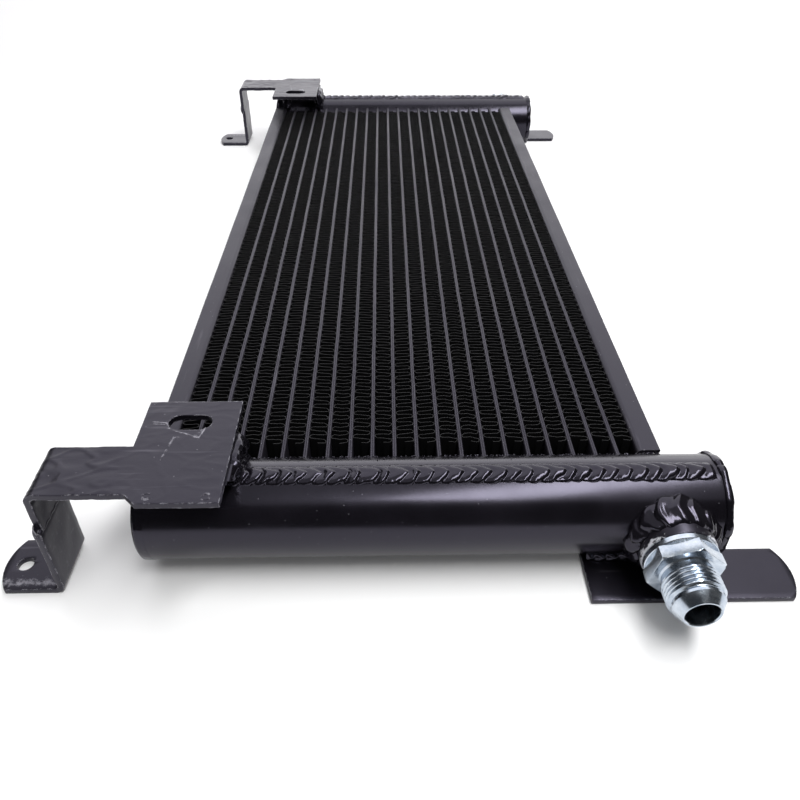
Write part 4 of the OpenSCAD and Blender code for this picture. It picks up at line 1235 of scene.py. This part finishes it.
def lowerPlate():
    p = lower
    outline = roundedTip(p["inner"], p["tip"], p["front"], p["width"], p["round"], 1)
    piece = prism("plate", outline, 0, bar["thick"])
    tab = prism("tab", [(p["inner"], p["front"]), (p["inner"] + p["tab"], p["front"]),
                        (p["inner"] + p["tab"], p["back"]), (p["inner"], p["back"])], 0, bar["thick"])
    carve(piece, tab, "UNION")
    easeEdges(piece, bar["ease"], 2)
    dice(piece, 3.5)
    dent(piece, lambda co: Vector((0, 0, -abs(noise.noise((co.x / 17, co.y / 9, 6.0))) * 0.14
                                   if co.z > 2 else 0)))
    return piece


bothEnds(lowerPlate(), "LowerPlate", "lower_plate", barPaint, sharp=38)

web = {"thick": 3.2, "leftX": -117.6, "rightX": -82.1, "outline": [(-16, 63.05), (4, 63.05), (18, 45.4)],
       "toe": 1.7, "beadFrom": -44, "beadTurn": 58, "back": 18, "foot": 24}
lump = {"x": -82.6, "half": 3.7, "front": -9, "length": 31, "top": 64.6, "crown": 6, "steps": 48,
        "around": 26}


def webLump():
    # the heavy weld that fills the corner between the right web, the plate's edge and the tank
    rings = []
    for i in range(lump["steps"] + 1):
        y = lump["front"] + lump["length"] * i / lump["steps"]
        taper = min(1.0, (min(i, lump["steps"] - i) + 0.4) / 7) ** 0.6
        low = tank["axisZ"] + math.sqrt(tank["radius"] ** 2 - y * y) - 1.0
        high = lump["top"] - 0.012 * (y - lump["crown"]) ** 2
        ring = []
        for k in range(lump["around"]):
            a = 2 * math.pi * k / lump["around"]
            c, d = math.cos(a), math.sin(a)
            swell = 1 + 0.5 * noise.noise((y / 5.5, d * 1.6, c))
            swell += 0.2 * noise.noise((y / 2.2, d * 3, c * 2))
            ring.append((lump["x"] + lump["half"] * taper * swell * c, y,
                         (low + high) / 2 + (high - low) / 2 * taper * (0.85 + 0.15 * swell) * d))
        rings.append(ring)
    return ringSolid("lump", rings)


def websPiece():
    made = []
    for x in (web["leftX"], web["rightX"]):
        top = web["outline"]
        hug = []
        for i in range(15):
            y = web["back"] - web["foot"] * i / 14
            hug.append((y, tank["axisZ"] + math.sqrt(tank["radius"] ** 2 - y * y) - 0.05))
        part = prism("web", top + hug, x - web["thick"], x, "x")
        easeEdges(part, 0.4, 2)
        made.append(part)
        for way in (-1, 1):
            # a fillet where the web stands on the tank
            def hugSurface(u, v, x=x, way=way):
                angle = web["beadFrom"] + web["beadTurn"] * u
                a = math.radians(angle)
                out = Vector((way * 0.7, -0.7 * math.sin(a), 0.7 * math.cos(a)))
                edge = x - (web["thick"] if way < 0 else 0)
                base = Vector(tankPoint(edge + way * (1 - v) * web["toe"], angle,
                                        tank["radius"] + (1 + v) * web["toe"]))
                return base, out, Vector((-way * 0.7, -0.7 * math.sin(a), 0.7 * math.cos(a)))
            line = bead("webBead", hugSurface, 25, 70, 0.5, 10, bury=1.0)
            growNodes(line, ripples, {
                "Pitch": 5.0, "Bow": 2.0, "Tail": 0.0, "Depth": 0.8, "Sharp": 1.2, "Ragged": 0.5,
                "Seed": 3.0 + way + x, "Finish": weldPaint})
            made.append(line)
    made.append(webLump())
    return joinPieces(made)


bothEnds(websPiece(), "BracketWebs", "bracket_webs", weldPaint, sharp=45)

legBead = {"proud": 1.5, "tall": 5.2, "innerProud": 0.14, "innerTall": 1.4, "steps": 60, "around": 28}


def legWeld():
    rings = []
    low, high = foot["front"] + 0.2, bracket["armFront"] + bar["width"] - 0.2
    middle = bracket["legX"] + bar["thick"] / 2
    for i in range(legBead["steps"] + 1):
        y = low + (high - low) * i / legBead["steps"]
        end = min(1, (min(i, legBead["steps"] - i) + 1) / 5)
        ring = []
        for k in range(legBead["around"]):
            a = 2 * math.pi * k / legBead["around"]
            swell = 1 + 0.28 * noise.noise((y / 4, math.cos(a) * 0.8, math.sin(a) * 0.8))
            outside = math.cos(a) < 0
            proud = legBead["proud"] * end * swell if outside else legBead["innerProud"]
            wide = bar["thick"] / 2 + proud * abs(math.cos(a)) ** 0.6
            tall = legBead["tall" if outside else "innerTall"] * (0.8 + 0.2 * swell)
            sway = 0.3 * math.sin(y * 1.15)
            ring.append((middle + wide * math.copysign(abs(math.cos(a)) ** 0.6, math.cos(a)), y,
                         bracket["joint"] + tall * math.sin(a) + sway))
        rings.append(ring)
    return ringSolid("legBead", rings)


bothEnds(legWeld(), "LegWeld", "leg_weld", barPaint, sharp=60)

plateBead = {"onPlate": 16.5, "onTank": 14.6, "height": 0.7, "depth": 0.7, "pitch": 6.0, "bow": 2.4}


def plateWelds():
    made = []
    for way in (-1, 1):
        def at(u, v, way=way):
            x = lower["inner"] + 2 + (lower["tab"] - 4) * u
            w = (v + 1) / 2
            onPlate = Vector((x, way * plateBead["onPlate"], bar["thick"]))
            drop = math.sqrt(tank["radius"] ** 2 - plateBead["onTank"] ** 2)
            onTank = Vector((x, way * plateBead["onTank"], tank["axisZ"] - drop))
            out = Vector((0, way * 0.9, -0.1)).normalized()
            return onPlate.lerp(onTank, w), out, (onTank - onPlate).normalized()
        line = bead("plateBead", at, lower["tab"] - 4, 110, plateBead["height"], 10, bury=2.5)
        growNodes(line, ripples, {"Pitch": plateBead["pitch"], "Bow": plateBead["bow"], "Tail": 0.0,
                                  "Depth": plateBead["depth"], "Sharp": 1.0, "Ragged": 0.4,
                                  "Seed": 6.0 + way, "Finish": weldPaint})
        made.append(line)
    return joinPieces(made)


bothEnds(plateWelds(), "PlateWelds", "plate_welds", weldPaint, sharp=60)
print("brackets, webs and plates done")

# the turbulators stay as the frame made them
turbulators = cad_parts["turbulators"]
if not turbulators.material_slots:
    turbulators.data.materials.append(aluminiumStrip)
for seat in turbulators.material_slots:
    seat.link = "OBJECT"
    seat.material = aluminiumStrip

# floor, light and air
sweep = {"half": 5.0, "front": -5.0, "back": 2.65}      # it ends at the wall of light
floor = newPiece("floor", [(-sweep["half"], sweep["front"], 0), (sweep["half"], sweep["front"], 0),
                           (sweep["half"], sweep["back"], 0), (-sweep["half"], sweep["back"], 0)],
                 [(0, 1, 2, 3)])
floorPaint, floorTree, floorShader = newMaterial("whitePaperSweep")
floorPlace = addNode(floorTree, "ShaderNodeTexCoord").outputs["Object"]
floorCloud = addNode(floorTree, "ShaderNodeTexNoise", {"Vector": floorPlace, "Scale": 2.0, "Detail": 2})
floorTone = addNode(floorTree, "ShaderNodeValToRGB", {"Fac": floorCloud})
setRamp(floorTone, (0.2, "#f4f4f4"), (0.8, "#fafafa"))
floorTree.links.new(floorTone.outputs[0], floorShader.inputs["Base Color"])
floorShader.inputs["Roughness"].default_value = 0.9
floorShader.inputs["Emission Color"].default_value = hexColour("#ffffff")
floorShader.inputs["Emission Strength"].default_value = 0.06      # lit from below, as a light table is
floor.data.materials.append(floorPaint)

lamps = {
    # a tall white wall behind, a tilted softbox above it, then a strip and a wide fill overhead
    "backdropPanel": {"place": (0.0, 2.7, 0.55), "aim": (0.0, 0.0, 0.25), "size": (4.8, 1.1), "power": 32.0,
                      "tint": "#fdfcff"},
    "rearSoftbox": {"place": (0.0, 1.56, 1.87), "aim": (0.0, -0.25, 0.0), "size": (3.6, 2.4), "power": 42.0,
                    "tint": "#fcfbff"},
    "overheadStrip": {"place": (0.42, -0.47, 1.5), "aim": (0.1, -0.35, 0.0), "size": (1.5, 0.36),
                      "power": 24.0, "tint": "#ffffff"},
    "overheadFill": {"place": (0.0, -0.7, 2.0), "aim": (0.0, -0.7, 0.0), "size": (3.0, 2.3),
                     "power": 10.5, "tint": "#ffffff"},
}
for name, lamp in lamps.items():
    light = bpy.data.objects.new(name, bpy.data.lights.new(name, "AREA"))
    light.data.shape = "RECTANGLE"
    light.data.size, light.data.size_y = lamp["size"]
    light.data.energy = lamp["power"]
    light.data.color = hexColour(lamp["tint"])[:3]
    light.location = lamp["place"]
    light.rotation_euler = (Vector(lamp["aim"]) - Vector(lamp["place"])).to_track_quat("-Z", "Y").to_euler()
    scene.collection.objects.link(light)

air = bpy.data.worlds.new("studioAir")
air.use_nodes = True
# a white room that sends little light of its own
seen = addNode(air.node_tree, "ShaderNodeLightPath")
strength = addNode(air.node_tree, "ShaderNodeMapRange", {"Value": seen.outputs["Is Camera Ray"],
                                                         "To Min": 0.08, "To Max": 0.9})
air.node_tree.links.new(strength.outputs[0], air.node_tree.nodes["Background"].inputs["Strength"])
air.node_tree.nodes["Background"].inputs["Color"].default_value = hexColour("#f5f5f5")
scene.world = air
scene.view_settings.view_transform = "Standard"
print("floor and lights done")
